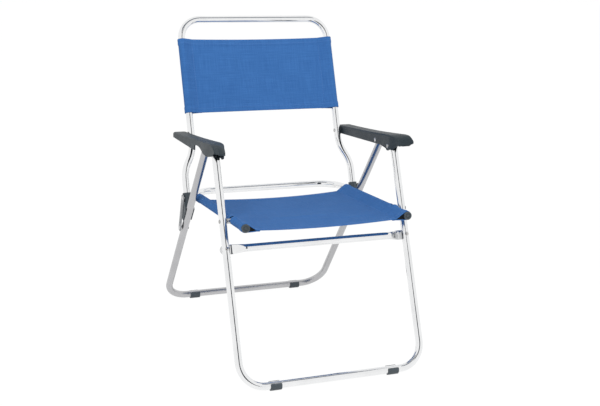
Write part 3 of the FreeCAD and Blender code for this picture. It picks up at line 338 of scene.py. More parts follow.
def make_painted_strip():
    """Grey paint over steel: orange-peel bump, and metal showing through on rubbed edges."""
    material, tree, shader, place = start_material("painted_strip")
    peel = noise(tree, place, 520.0, 2.0, 0.4)
    patches = noise(tree, place, 40.0, 3.0)
    rub_and_sheen = use_effect(tree, EDGE_WEAR_AND_SHEEN, Place=place, Width=0.0008, **{"Break up": 160.0})["Rub"]
    paint = blend_colour(tree, patches, (0.25, 0.26, 0.27, 1), (0.32, 0.33, 0.34, 1))
    worn = calc(tree, "MULTIPLY", rub_and_sheen, 0.6)
    join(tree, shader, Base_Color=blend_colour(tree, worn, paint, (0.62, 0.62, 0.62, 1)))
    join(tree, shader, Metallic=worn, Roughness=remap(tree, patches, 0.3, 0.7, 0.34, 0.46))
    join(tree, shader, Normal=bump(tree, peel, 0.00004, 0.6))
    return material


PLATED, STRIP = make_plated_steel(), make_painted_strip()
print("finish", PLATED.name, STRIP.name)

# %% [markdown]
# ## Moulded plastic
# The armrests are slate grey with a fine leather-like grain, and are taken to be
# polypropylene. The hinge blocks, plugs and feet are smoother. Hands polish the crowns and
# edges first, so the edge mask makes them glossier, and paler: wear and a painted highlight.

# %% Plastic finishes
def make_plastic(name, colour, pale, grain, depth, rough, gloss=0.5, wear_and_sheen_width=0.0018):
    """Grained plastic: tone drifts a few percent, edges go lighter (wear and painted highlight),
    pits set the bump.
    """
    material, tree, shader, place = start_material(name)
    mould = use_effect(tree, MOULD_GRAIN, Place=place, Grain=grain)
    rub_and_sheen = use_effect(tree, EDGE_WEAR_AND_SHEEN, Place=place, Width=wear_and_sheen_width, **{"Break up": 45.0})["Rub"]
    darker = tuple(0.86 * c for c in colour)
    base = blend_colour(tree, remap(tree, mould["Tone"], 0.3, 0.7), (*colour, 1), (*darker, 1))
    # Edges paler in colour: partly wear, partly a painted highlight.
    base = blend_colour(tree, calc(tree, "MULTIPLY", rub_and_sheen, 0.7), base, (*pale, 1))
    even = remap(tree, mould["Tone"], 0.3, 0.7, rough, rough + 0.08)
    shine = calc(tree, "MULTIPLY_ADD", rub_and_sheen, -0.12, even)
    soft_edge = wire(tree, "Bevel", {"Radius": 0.0006}, samples=4)
    join(tree, shader, Base_Color=base, Roughness=shine, Specular_IOR_Level=gloss)
    join(tree, shader, Normal=bump(tree, mould["Height"], depth, 0.7, soft_edge))
    print("finish", name)
    return material


SLATE = make_plastic("slate_plastic", (0.022, 0.033, 0.041), (0.065, 0.080, 0.090),
                     grain=1100.0, depth=0.00012, rough=0.46, gloss=0.36)
BLACK = make_plastic("black_plastic", (0.046, 0.060, 0.071), (0.09, 0.105, 0.115),
                     grain=1500.0, depth=0.00006, rough=0.38)
GLIDE = make_plastic("glide_plastic", (0.062, 0.078, 0.091), (0.13, 0.145, 0.155),
                     grain=1300.0, depth=0.00010, rough=0.50)

# %% Dress every solid that stays
FINISH = {"polished_tube": POLISHED, "rivet_steel": PLATED, "pressed_steel": STRIP,
          "slate_plastic": SLATE, "black_plastic": BLACK, "glide_plastic": GLIDE}


def dress_frame():
    """Gives each solid the finish of its slot; the rear legs get the satin one, darker as painted
    shade.
    """
    count = 0
    for name, node in frame["nodes"].items():
        was = node.data.materials[0].name.split(".")[0] if node.data.materials else ""
        if was not in FINISH:
            continue
        node.data.materials.clear()
        node.data.materials.append(SATIN_SHADED if name == "rear_leg_frame" else FINISH[was])
        count += 1
    return count


print("solids dressed:", dress_frame())

# %% [markdown]
# ## Small tools for new pieces
# New pieces need the same few steps: a soft start and stop between two values, a mesh that
# is closed and faces outwards, and an object at the origin that carries its finish.

# %% Shape and piece helpers
def ramp(value, start, length):
    """0 up to start, 1 from start + length on, and straight between."""
    return np.clip((value - start) / length, 0, 1)


def ease(t):
    """3t^2 - 2t^3 between 0 and 1."""
    t = np.clip(t, 0, 1)
    return t * t * (3 - 2 * t)


def closed_mesh(name, points, faces):
    """A mesh whose doubles are merged, whose holes are filled and whose faces point out."""
    mesh = bpy.data.meshes.new(name)
    mesh.from_pydata(points.reshape(-1, 3), [], faces)
    edit = bmesh.new()
    edit.from_mesh(mesh)
    bmesh.ops.remove_doubles(edit, verts=edit.verts, dist=0.02 * MM)
    bmesh.ops.holes_fill(edit, edges=[e for e in edit.edges if e.is_boundary])
    bmesh.ops.recalc_face_normals(edit, faces=edit.faces)
    edit.to_mesh(mesh)
    edit.free()
    return mesh


def add_piece(name, mesh, finish):
    """Puts a mesh in the scene, at the origin and unturned, with its finish."""
    piece = bpy.data.objects.new(name, mesh)
    bpy.context.scene.collection.objects.link(piece)
    mesh.materials.clear()
    mesh.materials.append(finish)
    return piece


print("helpers for pieces ready")

# %% [markdown]
# ## The roll of the armrest's nose
# The armrest's inner front corner is cut back at a slant, so that a hand can hang over it.
# On the real moulding the top rolls down over that slant as one big round, and the front
# ends in a thin lip. The solid has an upright wall there, so a copy of it is cut into
# strips along the slant and bent: a bend keeps the moulding's walls and hollow, where a
# new shape would have to repeat the bores and the bosses.

# %% Measures of the nose, all for the +x side, forward distances from the middle
NECK = 118 * MM                           # the bend acts ahead of this line
NOSE_OUT = np.array([-0.57, -0.82])       # in plan, forward and inward
ROLL_FROM, ROLL_REACH = -58 * MM, 50.5 * MM      # where the roll starts along it, its depth
INNER_WALL, SLANT_END = 236.3 * MM, 262 * MM     # the slant in the solid, across
SLANT_AT, SLANT_RUN = 149.4 * MM, 1.693          # its rear corner, forward run per width
NARROWED, UNMOVED = 9 * MM, 275 * MM             # the inner wall's shift, and where it ends
LIP_X, LIP_AT, LIP_RUN = 247 * MM, 163 * MM, 0.62     # the straight front after the bend
TOP, EDGE, EDGE_RISE = 600 * MM, 556 * MM, 16 * MM    # the solid's top and lower edge
LIP, LIP_RISE, LIP_TALL = 570 * MM, 9 * MM, 3.5 * MM  # the lip's lower edge and its height

# %% Roll the noses
def bend_nose(place):
    """Bends points of the +x armrest: its plan is narrowed, then its top is let down.

    In plan, lengths ahead of the neck are scaled so that the slanted front lands on a
    straight line. With d the distance along NOSE_OUT, the top lands on the ellipse
    f + (TOP - f) sqrt(1 - ((d - ROLL_FROM) / ROLL_REACH)^2), and the lower edge on the
    lip, LIP_TALL under f.
    """
    x, y, z = place.T
    inner = ramp(-x, -UNMOVED, UNMOVED - INNER_WALL)
    wide = x + NARROWED * ease((-y - NECK) / (30 * MM)) * inner
    solid_front = SLANT_AT + (np.clip(x, INNER_WALL, SLANT_END) - INNER_WALL) * SLANT_RUN
    front_line = LIP_AT + (wide - LIP_X) * LIP_RUN
    scaled = -NECK + (y + NECK) * (front_line - NECK) / (solid_front - NECK)
    long = np.where(-y > NECK, scaled, y)
    along = NOSE_OUT[0] * wide + NOSE_OUT[1] * long
    edge = EDGE + EDGE_RISE * ramp(-y, 149 * MM, 44 * MM)
    lip = LIP + LIP_RISE * ramp(wide, LIP_X, 34 * MM)
    front = lip + LIP_TALL
    drop = (TOP - front) * (1 - np.sqrt(1 - ramp(along, ROLL_FROM, ROLL_REACH) ** 2))
    lift = (lip - edge) * ease((along + 36 * MM) / (26 * MM))
    share = np.clip((z - edge) / (TOP - edge), 0, 1)
    z = z + np.where(y < -60 * MM, lift * (1 - share) - drop * share, 0)
    return np.stack([wide, long, z], axis=1)


def roll_nose(name, side):
    """A copy of the armrest, cut across the bend every 3 mm and then bent."""
    edit = bmesh.new()
    edit.from_mesh(frame["nodes"][name].data)
    bmesh.ops.remove_doubles(edit, verts=edit.verts, dist=0.001 * MM)
    out = Vector((side * NOSE_OUT[0], NOSE_OUT[1], 0))
    for along in np.arange(-0.056, 0.010, 0.003):
        near = [f for f in edit.faces if min(v.co.y for v in f.verts) < -60 * MM]
        edges = {e for f in near for e in f.edges}
        corners = {v for f in near for v in f.verts}
        bmesh.ops.bisect_plane(edit, geom=near + list(edges) + list(corners),
                               plane_co=out * (along / out.length_squared), plane_no=out)
    mesh = bpy.data.meshes.new(name + "_rolled")
    edit.to_mesh(mesh)
    edit.free()
    place = np.empty(3 * len(mesh.vertices))
    mesh.vertices.foreach_get("co", place)
    place = place.reshape(-1, 3) * [side, 1, 1]
    mesh.vertices.foreach_set("co", (bend_nose(place) * [side, 1, 1]).ravel())
    mesh.shade_smooth()
    mesh.set_sharp_from_angle(angle=math.radians(32))
    return mesh


for side, name in ((-1, "armrest_left"), (1, "armrest_right")):
    rolled = add_piece(name + "_rolled", roll_nose(name, side), SLATE)
    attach(rolled, "armrests")
    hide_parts(name)
    print(rolled.name, len(rolled.data.polygons), "faces")

# %% [markdown]
# ## The stretcher's pressed ends
# The bar between the front legs is one tube, and a press has flattened its ends so that
# they pass behind the legs. Tube turns into plate over a few centimetres, growing taller as
# it grows thinner. The solid does it in a short straight step, so the bar is made again as
# one section that changes along its length.

# %% The stretcher
STRETCHER_AT = np.array([0, -0.2102, 0.3371])
UP_LEG = np.array([0, 0.4035, 0.9150])
BEHIND = np.array([0, 0.9150, -0.4035])
PRESS_FROM, PRESS_TO, LEG_AXIS = 200 * MM, 240 * MM, 255.5 * MM   # along the bar
TUBE_HALF, PLATE_TALL, PLATE_THIN = 10 * MM, 13 * MM, 1.5 * MM    # half sizes across it


def rounded(angle, power):
    """(sin, cos) of the angle, each with its size raised to the power and its sign kept."""
    return (np.sign(wave) * np.abs(wave) ** power for wave in (np.sin(angle), np.cos(angle)))


def stretcher_mesh(around=56):
    """A superellipse |a/h|^p + |b/t|^p = 1 carried along x.

    Through the press, h grows from the tube's radius to the plate's half height, t shrinks
    to its half thickness, p goes from 2 to 5, and the middle moves behind the leg. Past the
    leg's axis h follows a half circle to nothing, which rounds the plate's end.
    """
    tip = LEG_AXIS + PLATE_TALL * np.sin(np.linspace(0, math.pi / 2, 14)[1:])
    plain, pressed = np.linspace(0, PRESS_FROM, 12)[:-1], np.linspace(PRESS_FROM, PRESS_TO, 32)
    half = np.concatenate([plain, pressed, [LEG_AXIS - 4 * MM, LEG_AXIS], tip])
    x = np.concatenate([-half[:0:-1], half])
    far = np.abs(x)
    press = ease((far - PRESS_FROM) / (PRESS_TO - PRESS_FROM))
    past = ramp(far, LEG_AXIS, PLATE_TALL)
    tall = (TUBE_HALF + (PLATE_TALL - TUBE_HALF) * press) * np.sqrt(1 - past ** 2)
    thin = TUBE_HALF + (PLATE_THIN - TUBE_HALF) * press
    a, b = rounded(np.arange(around) * 2 * math.pi / around, (2 / (2 + 3 * press))[:, None])
    a = a * tall[:, None]
    b = b * thin[:, None] + ((TUBE_HALF + PLATE_THIN) * press)[:, None]
    points = STRETCHER_AT + a[..., None] * UP_LEG + b[..., None] * BEHIND
    points[..., 0] = x[:, None]
    row = np.arange(len(x) - 1)[:, None] * around
    step = np.arange(around)
    after = (step + 1) % around
    far_row = row + around
    faces = np.stack([row + step, row + after, far_row + after, far_row + step], axis=-1)
    mesh = closed_mesh("stretcher_pressed", points, faces.reshape(-1, 4).tolist())
    mesh.shade_smooth()
    mesh.set_sharp_from_angle(angle=math.radians(40))
    return mesh


stretcher = add_piece("stretcher_pressed", stretcher_mesh(), POLISHED)
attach(stretcher, "front_legs")
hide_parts("front_stretcher")
corners = np.array([v.co for v in stretcher.data.vertices])
print("pressed stretcher:", corners.min(0).round(4), corners.max(0).round(4))

# %% [markdown]
# ## Cloth in sleeves
# The seat and the back are made alike. A piece of cloth has a sleeve sewn along each side,
# and the sleeves are pushed over the tubes. Seen from the end, the band hangs from two
# seams, a thumb's width inboard of the tubes. At each seam it parts: one layer climbs over
# the tube and the other comes back under it, like a drop lying on its side. That line is
# worked out once as a section, and carried along the tube. It could be a plain plate with
# two rings, but then no mouth would show at the ends of the sleeves, and the seam would
# have nothing to hold.

# %% The section of a sleeve cloth
ROLL = 10.75 * MM        # tube radius, a little air, and half the cloth
CLOTH = 1.0 * MM         # thickness of the cloth
SEAM_INBOARD = 31 * MM   # tube axis to the seam
ALLOWANCE = 9 * MM       # cloth past the seam
CORNER = 5 * MM          # length of the turn in the cloth on either side of the seam


def half_section(half, seam_height, sag):
    """Points of one half: band, slope up to the tube, round it, and back below to the seam.

    The band is a parabola that falls by sag from the seam to the middle. From the seam
    two straight lines touch the tube's circle, one above and one below, and the arc
    between them goes round the tube's outer side. The corner at the seam is a quadratic
    curve. A short flap of spare cloth lies under the band.
    """
    seam = np.array([half - SEAM_INBOARD, seam_height])
    tilt = math.atan2(seam_height, SEAM_INBOARD)
    opening = math.acos(ROLL / math.hypot(seam_height, SEAM_INBOARD))
    first = math.pi / 2 - (tilt + opening)
    angle = np.linspace(first, first + 2 * opening - 2 * math.pi, 34)
    arc = np.stack([half - ROLL * np.sin(angle), ROLL * np.cos(angle)], axis=1)
    band_x = (seam[0] - CORNER) * np.linspace(0, 1, 36)
    band = np.stack([band_x, seam_height - sag * (1 - (band_x / seam[0]) ** 2)], axis=1)
    rise = arc[0] - seam
    leave = seam + CORNER * rise / np.linalg.norm(rise)
    t = np.linspace(0, 1, 8)[1:, None]
    corner = (1 - t) ** 2 * band[-1] + 2 * t * (1 - t) * seam + t ** 2 * leave
    slope = leave * (1 - t[:-1]) + arc[0] * t[:-1]
    step = np.linspace(0, 1, 9)[1:, None]
    below = seam - [0, 1.6 * CLOTH]
    under = arc[-1] * (1 - step) + below * step
    flap_x = seam[0] - ALLOWANCE * np.linspace(0, 1, 4)[1:]
    flap_h = seam_height - sag * (1 - (flap_x / seam[0]) ** 2) - 1.15 * CLOTH
    flap = np.stack([flap_x, flap_h], axis=1)
    return np.concatenate([band, corner, slope, arc, under, flap])


def whole_section(half, seam_height, sag):
    """Distance along the cut cloth, the points of both halves end to end, and normals."""
    right = half_section(half, seam_height, sag)
    left = right[:0:-1] * np.array([-1, 1])
    points = np.concatenate([left, right])
    steps = np.linalg.norm(np.diff(points, axis=0), axis=1)
    across = np.concatenate([[0], np.cumsum(steps)])
    across -= across[len(left)]
    along = np.gradient(points, axis=0)
    along /= np.linalg.norm(along, axis=1, keepdims=True)
    normals = np.stack([-along[:, 1], along[:, 0]], axis=1)
    return across, points, normals


trial, _, _ = whole_section(226 * MM, -8.5 * MM, 4.3 * MM)
print("cut width of the seat: %.0f mm" % (1000 * (trial[-1] - trial[0])))

# %% [markdown]
# ## Hems
# Each free end of the cloth is folded under and stitched. The fold is real here: the rows
# of the grid start at the raw edge, run out to the end, turn in a small half circle and
# come back on top, where the cloth is one thickness proud until it has passed the raw edge.

# %% Rows of the grid, from one folded end to the other
HEM = 15.5 * MM
FOLD = 0.55 * CLOTH


def hem_rows():
    """(distance from the end, lift) of the rows: raw edge, round the fold, and inward."""
    turn = np.radians(np.linspace(-90, 90, 7))
    raw = np.stack([np.linspace(HEM, FOLD, 6), np.zeros(6)], axis=1)
    fold = np.stack([FOLD - FOLD * np.cos(turn), FOLD + FOLD * np.sin(turn)], axis=1)
    top = np.stack([np.linspace(FOLD, HEM, 9), np.full(9, 2 * FOLD)], axis=1)
    down = np.stack([HEM + np.array([1.2, 2.4, 3.6]) * MM, FOLD * np.array([1.5, 0.5, 0])], axis=1)
    return np.concatenate([raw, fold[1:], top[1:], down])


def cloth_rows(length, body_rows):
    """For every row: its distance from the first end, its lift, and its place on the cut cloth."""
    hem = hem_rows()
    inner = hem[-1, 0]
    body = np.linspace(inner, length - inner, body_rows)[1:-1]
    near = np.concatenate([hem[:, 0], body, length - hem[::-1, 0]])
    lift = np.concatenate([hem[:, 1], np.zeros(len(body)), hem[::-1, 1]])
    steps = np.hypot(np.diff(near), np.diff(lift))
    cut = np.concatenate([[0], np.cumsum(steps)])
    return near, lift, cut


print("rows from one hem:", len(hem_rows()))

# %% [markdown]
# ## Relief: what tension and sewing do to the cloth
# Flat mathematics looks like sheet metal. Cloth on a frame is pulled between the tubes, so
# it shows long soft folds from tube to tube, puckers beside every stitched line, and a
# shallow groove along each seam. These are sums of a few smooth waves and bells.

# %% Wrinkles and puckers
def bell(value, middle, width):
    """A smooth bump: exp of minus the squared distance in widths."""
    return np.exp(-(((value - middle) / width) ** 2))


def relief(x, across_cut, near, length, half, seed, folds):
    """Height of the small forms, in metres, at each point of the cloth."""
    chance = np.random.default_rng(seed)
    inboard = np.clip((half - 20 * MM - np.abs(x)) / (60 * MM), 0, 1)
    height = np.zeros_like(near)
    for _ in range(7):
        middle, drift = chance.uniform(0.05, 0.95) * length, chance.uniform(-0.10, 0.10)
        width, size = chance.uniform(5, 14) * MM, chance.uniform(0.3, 1.0) * folds
        swing = x / half * math.pi * chance.uniform(0.5, 1.6) + chance.uniform(0, 6)
        along_x = 0.55 + 0.45 * np.cos(swing)
        height += size * along_x * bell(near + drift * x, middle, width) * inboard
    end = np.minimum(near, length - near)
    wave = np.sin(across_cut / (11 * MM) * 2 * math.pi + 3 * np.sin(across_cut * 31))
    height += 0.16 * MM * wave * bell(end, HEM - 2.5 * MM, 5 * MM) * np.clip(inboard + 0.3, 0, 1)
    seam = np.abs(np.abs(x) - (half - SEAM_INBOARD))
    wave = np.sin(near / (9 * MM) * 2 * math.pi + 2 * np.sin(near * 47))
    height += (-0.35 * MM + 0.12 * MM * wave) * bell(seam, 0, 2.6 * MM)
    height += 0.25 * MM * bell(np.abs(x), half - SEAM_INBOARD - 5 * MM, 3.5 * MM)
    return height


print("puckers every 11 mm on hems, every 9 mm on seams")

# %% The cloth as one surface of two parameters
class SleeveCloth:
    """A cloth on two parallel tubes.

    The point at cut distance u and end distance v is origin + x X + v A + h N, where (x, h)
    is the section at u moved along its normal by the lift, A runs along the tubes, and N
    is the side that shows. slack(v) lets the band hang lower between its seams, and
    push(x, h, v) lifts the cloth off the tube.
    """

    def __init__(self, origin, run, face, half, seam_height, sag, length, hollow, folds, seed,
                 slack=None, push=None):
        self.origin, self.run, self.face = (np.asarray(v, float) for v in (origin, run, face))
        self.half, self.length, self.hollow = half, length, hollow
        self.folds, self.seed, self.slack, self.push = folds, seed, slack, push
        self.across, self.points, self.normals = whole_section(half, seam_height, sag)
        seam = half - SEAM_INBOARD
        middle = len(self.across) // 2
        outward = slice(middle, middle + 50)
        self.seam_u = float(np.interp(seam, self.points[outward, 0], self.across[outward]))

    def place(self, u, v, lift):
        """Positions for arrays of cut distance, end distance and lift off the cloth."""
        x, h, nx, nh = (np.interp(u, self.across, column)
                        for column in (*self.points.T, *self.normals.T))
        clear = self.half - 22 * MM
        curve = self.hollow * np.clip(1 - (x / clear) ** 2, 0, 1)
        shrunk = curve + v * (self.length - 2 * curve) / self.length
        raised = lift + relief(x, u, v, self.length, self.half, self.seed, self.folds)
        if self.push is not None:
            raised = raised + self.push(x, h, v)
        if self.slack is not None:
            h = h - self.slack(v) * np.clip(1 - (x / (self.half - SEAM_INBOARD)) ** 2, 0, 1)
        out = self.origin + shrunk[..., None] * self.run + (h + nh * raised)[..., None] * self.face
        out[..., 0] += x + nx * raised
        return out

    def grid(self, body_rows):
        """Every row's points, and the cut coordinates that the weave follows."""
        near, lift, cut = cloth_rows(self.length, body_rows)
        u, v = np.meshgrid(self.across, near)
        points = self.place(u, v, np.broadcast_to(lift[:, None], u.shape))
        chart = np.stack(np.meshgrid(self.across, cut), axis=-1)
        return points, chart


def surface_mesh(name, points, chart=None, flip=False):
    """A mesh of quads from a grid of points; chart becomes its UV map, in metres."""
    rows, columns = points.shape[:2]
    corner = np.arange(rows * columns).reshape(rows, columns)
    loop = (corner[:-1, :-1], corner[:-1, 1:], corner[1:, 1:], corner[1:, :-1])
    quads = np.stack(loop, axis=-1).reshape(-1, 4)
    if flip:
        quads = quads[:, ::-1]
    mesh = bpy.data.meshes.new(name)
    mesh.from_pydata(points.reshape(-1, 3), [], quads)
    if chart is not None:
        layer = mesh.uv_layers.new(name="cut")
        layer.uv.foreach_set("vector", chart.reshape(-1, 2)[quads.ravel()].ravel())
    mesh.shade_smooth()
    return mesh


def thicken(piece):
    """Half the cloth's thickness to each side of its surface."""
    solid = piece.modifiers.new("thickness", "SOLIDIFY")
    solid.thickness, solid.offset = CLOTH, 0


def settle(piece):
    """Applies the piece's modifiers for good, so that what is left is a plain mesh."""
    ready = bpy.context.evaluated_depsgraph_get()
    mesh = bpy.data.meshes.new_from_object(
        piece.evaluated_get(ready), preserve_all_data_layers=True, depsgraph=ready)
    piece.modifiers.clear()
    old, piece.data = piece.data, mesh
    bpy.data.meshes.remove(old)
    mesh.name = piece.name


print("cloth surface ready")

# %% [markdown]
# ## The cloth's finish
# It is taken to be a dyed polyester of the kind used for camp furniture: a plain weave of
# fairly thick threads. The weave gives the bump and a painted shade in its hollows, uneven
# threads give faint streaks both ways, and the colour is a little deeper in broad patches.

# %% Blue cloth
def make_cloth(name, colour, deep):
    """Weave bump, painted weave shade, streaks of uneven yarn and broad patches over one dye."""
    material, tree, shader, cut = start_material(name, "UV")
    weave = use_effect(tree, PLAIN_WEAVE, Cut=cut)
    streak = remap(tree, weave["Tone"], 0.75, 1.25)
    # Weave crests lighter and hollows darker: painted shade of the weave's relief.
    weave_shade = remap(tree, weave["Height"], 0.0, 1.0, 0.0, 0.35)
    shade = calc(tree, "MULTIPLY_ADD", streak, 0.5, weave_shade)
    base = blend_colour(tree, shade, (*deep, 1), (*colour, 1))
    base = blend_colour(tree, remap(tree, weave["Wear"], 0.45, 0.75, 0.0, 0.35), base, (*deep, 1))
    rough = remap(tree, weave["Height"], 0.0, 1.0, 0.92, 0.80)
    join(tree, shader, Base_Color=base, Roughness=rough)
    join(tree, shader, Specular_IOR_Level=0.12, Sheen_Weight=0.03, Sheen_Roughness=0.45)
    join(tree, shader, Normal=bump(tree, weave["Height"], 0.00025, 0.8))
    return material


BLUE = make_cloth("blue_cloth", (0.062, 0.196, 0.498), (0.036, 0.128, 0.362))
print("finish", BLUE.name)

# %% [markdown]
# ## Thread
# The sewing is a lockstitch in thread a shade lighter than the cloth. Each stitch is a
# short bead that dips into the cloth at both ends. There are hundreds, so each has few
# faces, and all of one cloth's stitches are made in a single array.

# %% Stitches
THREAD = make_cloth("blue_thread", (0.15, 0.30, 0.62), (0.11, 0.24, 0.54))


def stitch_line(cloth, fixed, ends, along_tube, lift, pitch=4.4 * MM, thick=0.42 * MM):
    """Beads along one line of the cloth: centre line lift + thick cos(pi t), ring of six."""
    count = int((ends[1] - ends[0]) / pitch)
    start = ends[0] + pitch * (np.arange(count) + 0.5)
    t = np.linspace(-0.5, 0.5, 5)
    here = start[:, None] + 0.80 * pitch * t
    there = np.full_like(here, fixed)
    u, v = (there, here) if along_tube else (here, there)
    rise = np.broadcast_to(lift + thick * (1.25 * np.cos(math.pi * t) - 0.9), u.shape)
    centre = cloth.place(u, v, rise)
    up = cloth.place(u, v, rise + 0.1 * MM) - centre
    up /= np.linalg.norm(up, axis=-1, keepdims=True)
    ahead = np.gradient(centre, axis=1)
    ahead /= np.linalg.norm(ahead, axis=-1, keepdims=True)
    side = np.cross(ahead, up)
    angle = np.linspace(0, 2 * math.pi, 7)[:-1]
    radius = thick * np.array([0.45, 0.9, 1.0, 0.9, 0.45])
    across, upward = np.cos(angle)[:, None], np.sin(angle)[:, None]
    ring = across * side[:, :, None] + upward * up[:, :, None]
    return centre[:, :, None] + ring * radius[None, :, None, None]


def stitches_mesh(name, lines):
    """All beads as one mesh: quads round each bead and a hexagon at each end."""
    beads = np.concatenate(lines)
    count = len(beads)
    ring, around = np.meshgrid(np.arange(4), np.arange(6), indexing="ij")
    nxt = (around + 1) % 6
    near, far = ring * 6, ring * 6 + 6
    quads = np.stack([far + around, far + nxt, near + nxt, near + around], axis=-1)
    first = 30 * np.arange(count)[:, None, None]
    quads = (quads.reshape(1, -1, 4) + first).reshape(-1, 4)
    caps = np.concatenate([np.arange(6)[None], 24 + np.arange(6)[None, ::-1]])
    caps = (caps[None] + first).reshape(-1, 6)
    mesh = bpy.data.meshes.new(name)
    mesh.from_pydata(beads.reshape(-1, 3), [], quads.tolist() + caps.tolist())
    layer = mesh.uv_layers.new(name="cut")
    layer.uv.foreach_set("vector", np.zeros(2 * len(mesh.loops)))
    mesh.shade_smooth()
    print(name, "stitches:", count)
    return mesh


def sew(name, cloth):
    """A row on each sleeve seam and a row on each hem."""
    top, hem_top = 0.5 * CLOTH, 0.5 * CLOTH + 2 * FOLD
    between_hems = (HEM + 4 * MM, cloth.length - HEM - 4 * MM)
    lines = []
    for side in (-1, 1):
        seam = side * (cloth.seam_u + 1.5 * MM)
        lines.append(stitch_line(cloth, seam, between_hems, True, top))
    limit = cloth.across[-1] - 30 * MM
    for row in (HEM - 3 * MM, cloth.length - HEM + 3 * MM):
        lines.append(stitch_line(cloth, row, (-limit, limit), False, hem_top))
    return stitches_mesh(name, lines)


# %% [markdown]
# ## The seat
# The seat cloth starts just ahead of the hinge and ends just short of the rails' plugs. Its
# free edges are cut hollow, so that they stay tight. The leg is riveted to the rail in
# the middle of the sleeve's outer side, and the sleeve is cut away there. Ahead of that
# cut the cloth is pushed up a little by the rivet's bush.

# %% Directions of the seat, and the cloth laid on its rails
SEAT_HALF = 0.226
PIVOT_RUN, PIVOT_RISE = 313.6, 19.1     # from the hinge to the leg's pivot, in millimetres
SEAT_SPAN = math.hypot(PIVOT_RUN, PIVOT_RISE)
SEAT_RUN = np.array([0.0, -PIVOT_RUN, PIVOT_RISE]) / SEAT_SPAN
SEAT_FACE = np.array([0.0, PIVOT_RISE, PIVOT_RUN]) / SEAT_SPAN
SEAT_START, SEAT_LENGTH = 13 * MM, 389.2 * MM
PIVOT_AT = SEAT_SPAN * MM - SEAT_START


def pushed_up(x, h, v):
    """On the sleeve's outer top, a bell 3.4 mm high ahead of the cut and one behind it."""
    outer = ramp(np.abs(x), SEAT_HALF - 9 * MM, 10 * MM) * ramp(h, -6 * MM, 8 * MM)
    ahead = 3.4 * MM * bell(v, PIVOT_AT + 13 * MM, 9 * MM)
    behind = 1.2 * MM * bell(v, PIVOT_AT - 12 * MM, 7 * MM)
    return outer * (ahead + behind)


def hangs_lower(v):
    """The band is slackest at its front edge: 0 behind, then a smooth step up to 4 mm."""
    return 4.0 * MM * ease((v / SEAT_LENGTH - 0.6) / 0.4)


seat_cloth = SleeveCloth(
    HINGE * [0, 1, 1] + SEAT_START * SEAT_RUN, SEAT_RUN, SEAT_FACE, SEAT_HALF,
    seam_height=-8.5 * MM, sag=4.3 * MM, length=SEAT_LENGTH, hollow=12 * MM, folds=1.2 * MM,
    seed=5, slack=hangs_lower, push=pushed_up)
points, chart = seat_cloth.grid(70)
seat = add_piece("seat_cloth", surface_mesh("seat_cloth", points, chart, flip=True), BLUE)
thicken(seat)
print("seat grid:", points.shape, points.min((0, 1)).round(3), points.max((0, 1)).round(3))

# %% Cut the sleeves away round the pivots
def notch_cutter(side):
    """An upright oval, 16 mm by 27 mm, swept from just inside the rail's top outward."""
    angle = np.linspace(0, 2 * math.pi, 41)[:, None]
    centre = seat_cloth.origin + PIVOT_AT * SEAT_RUN
    oval = centre + 8.2 * MM * np.cos(angle) * SEAT_RUN + 13.5 * MM * np.sin(angle) * SEAT_FACE
    rings = np.stack([oval, oval])
    rings[0, :, 0], rings[1, :, 0] = side * (SEAT_HALF - 2 * MM), side * (SEAT_HALF + 24 * MM)
    mesh = surface_mesh("notch", rings[:, :-1])
    edit = bmesh.new()
    edit.from_mesh(mesh)
    edit.verts.ensure_lookup_table()
    edit.faces.new([edit.verts[i] for i in (40, 79, 39, 0)])
    edit.faces.new(edit.verts[:40])
    edit.faces.new(edit.verts[40:])
    bmesh.ops.recalc_face_normals(edit, faces=edit.faces)
    edit.to_mesh(mesh)
    edit.free()
    return add_piece("notch", mesh, BLUE)


cutters = [notch_cutter(-1), notch_cutter(1)]
for number, cutter in enumerate(cutters):
    cut = seat.modifiers.new("notch_%d" % number, "BOOLEAN")
    cut.operation, cut.solver, cut.object = "DIFFERENCE", "EXACT", cutter
settle(seat)
for cutter in cutters:
    bpy.data.objects.remove(cutter)
seat.data.set_sharp_from_angle(angle=math.radians(50))
print("seat cloth faces:", len(seat.data.polygons))

# %% [markdown]
# ## Wedges in the mouths of the sleeves
# Each rail ends in a plastic plug, and beside the plug the mouth of the sleeve is dark. What
# is there on the real chair isn't known. A near-black wedge just inside the mouth is the
# guess made here: it keeps the mouth dark in any light, painted shade standing in for the
# shade of the open gap. An open gap would be the simpler way: it comes out dark too, and a
# little blacker, so the look alone doesn't settle it. The wedge's section is the gap between
# the two layers and the tube, a little smaller all round.

# %% Wedges
# A near-black finish for the wedges: painted shade in the sleeves' mouths.
SHADE_WEDGE_FINISH = make_plastic("wedge_plastic", (0.005, 0.006, 0.008), (0.015, 0.016, 0.018),
                    grain=1500.0, depth=0.00006, rough=0.62, gloss=0.2)


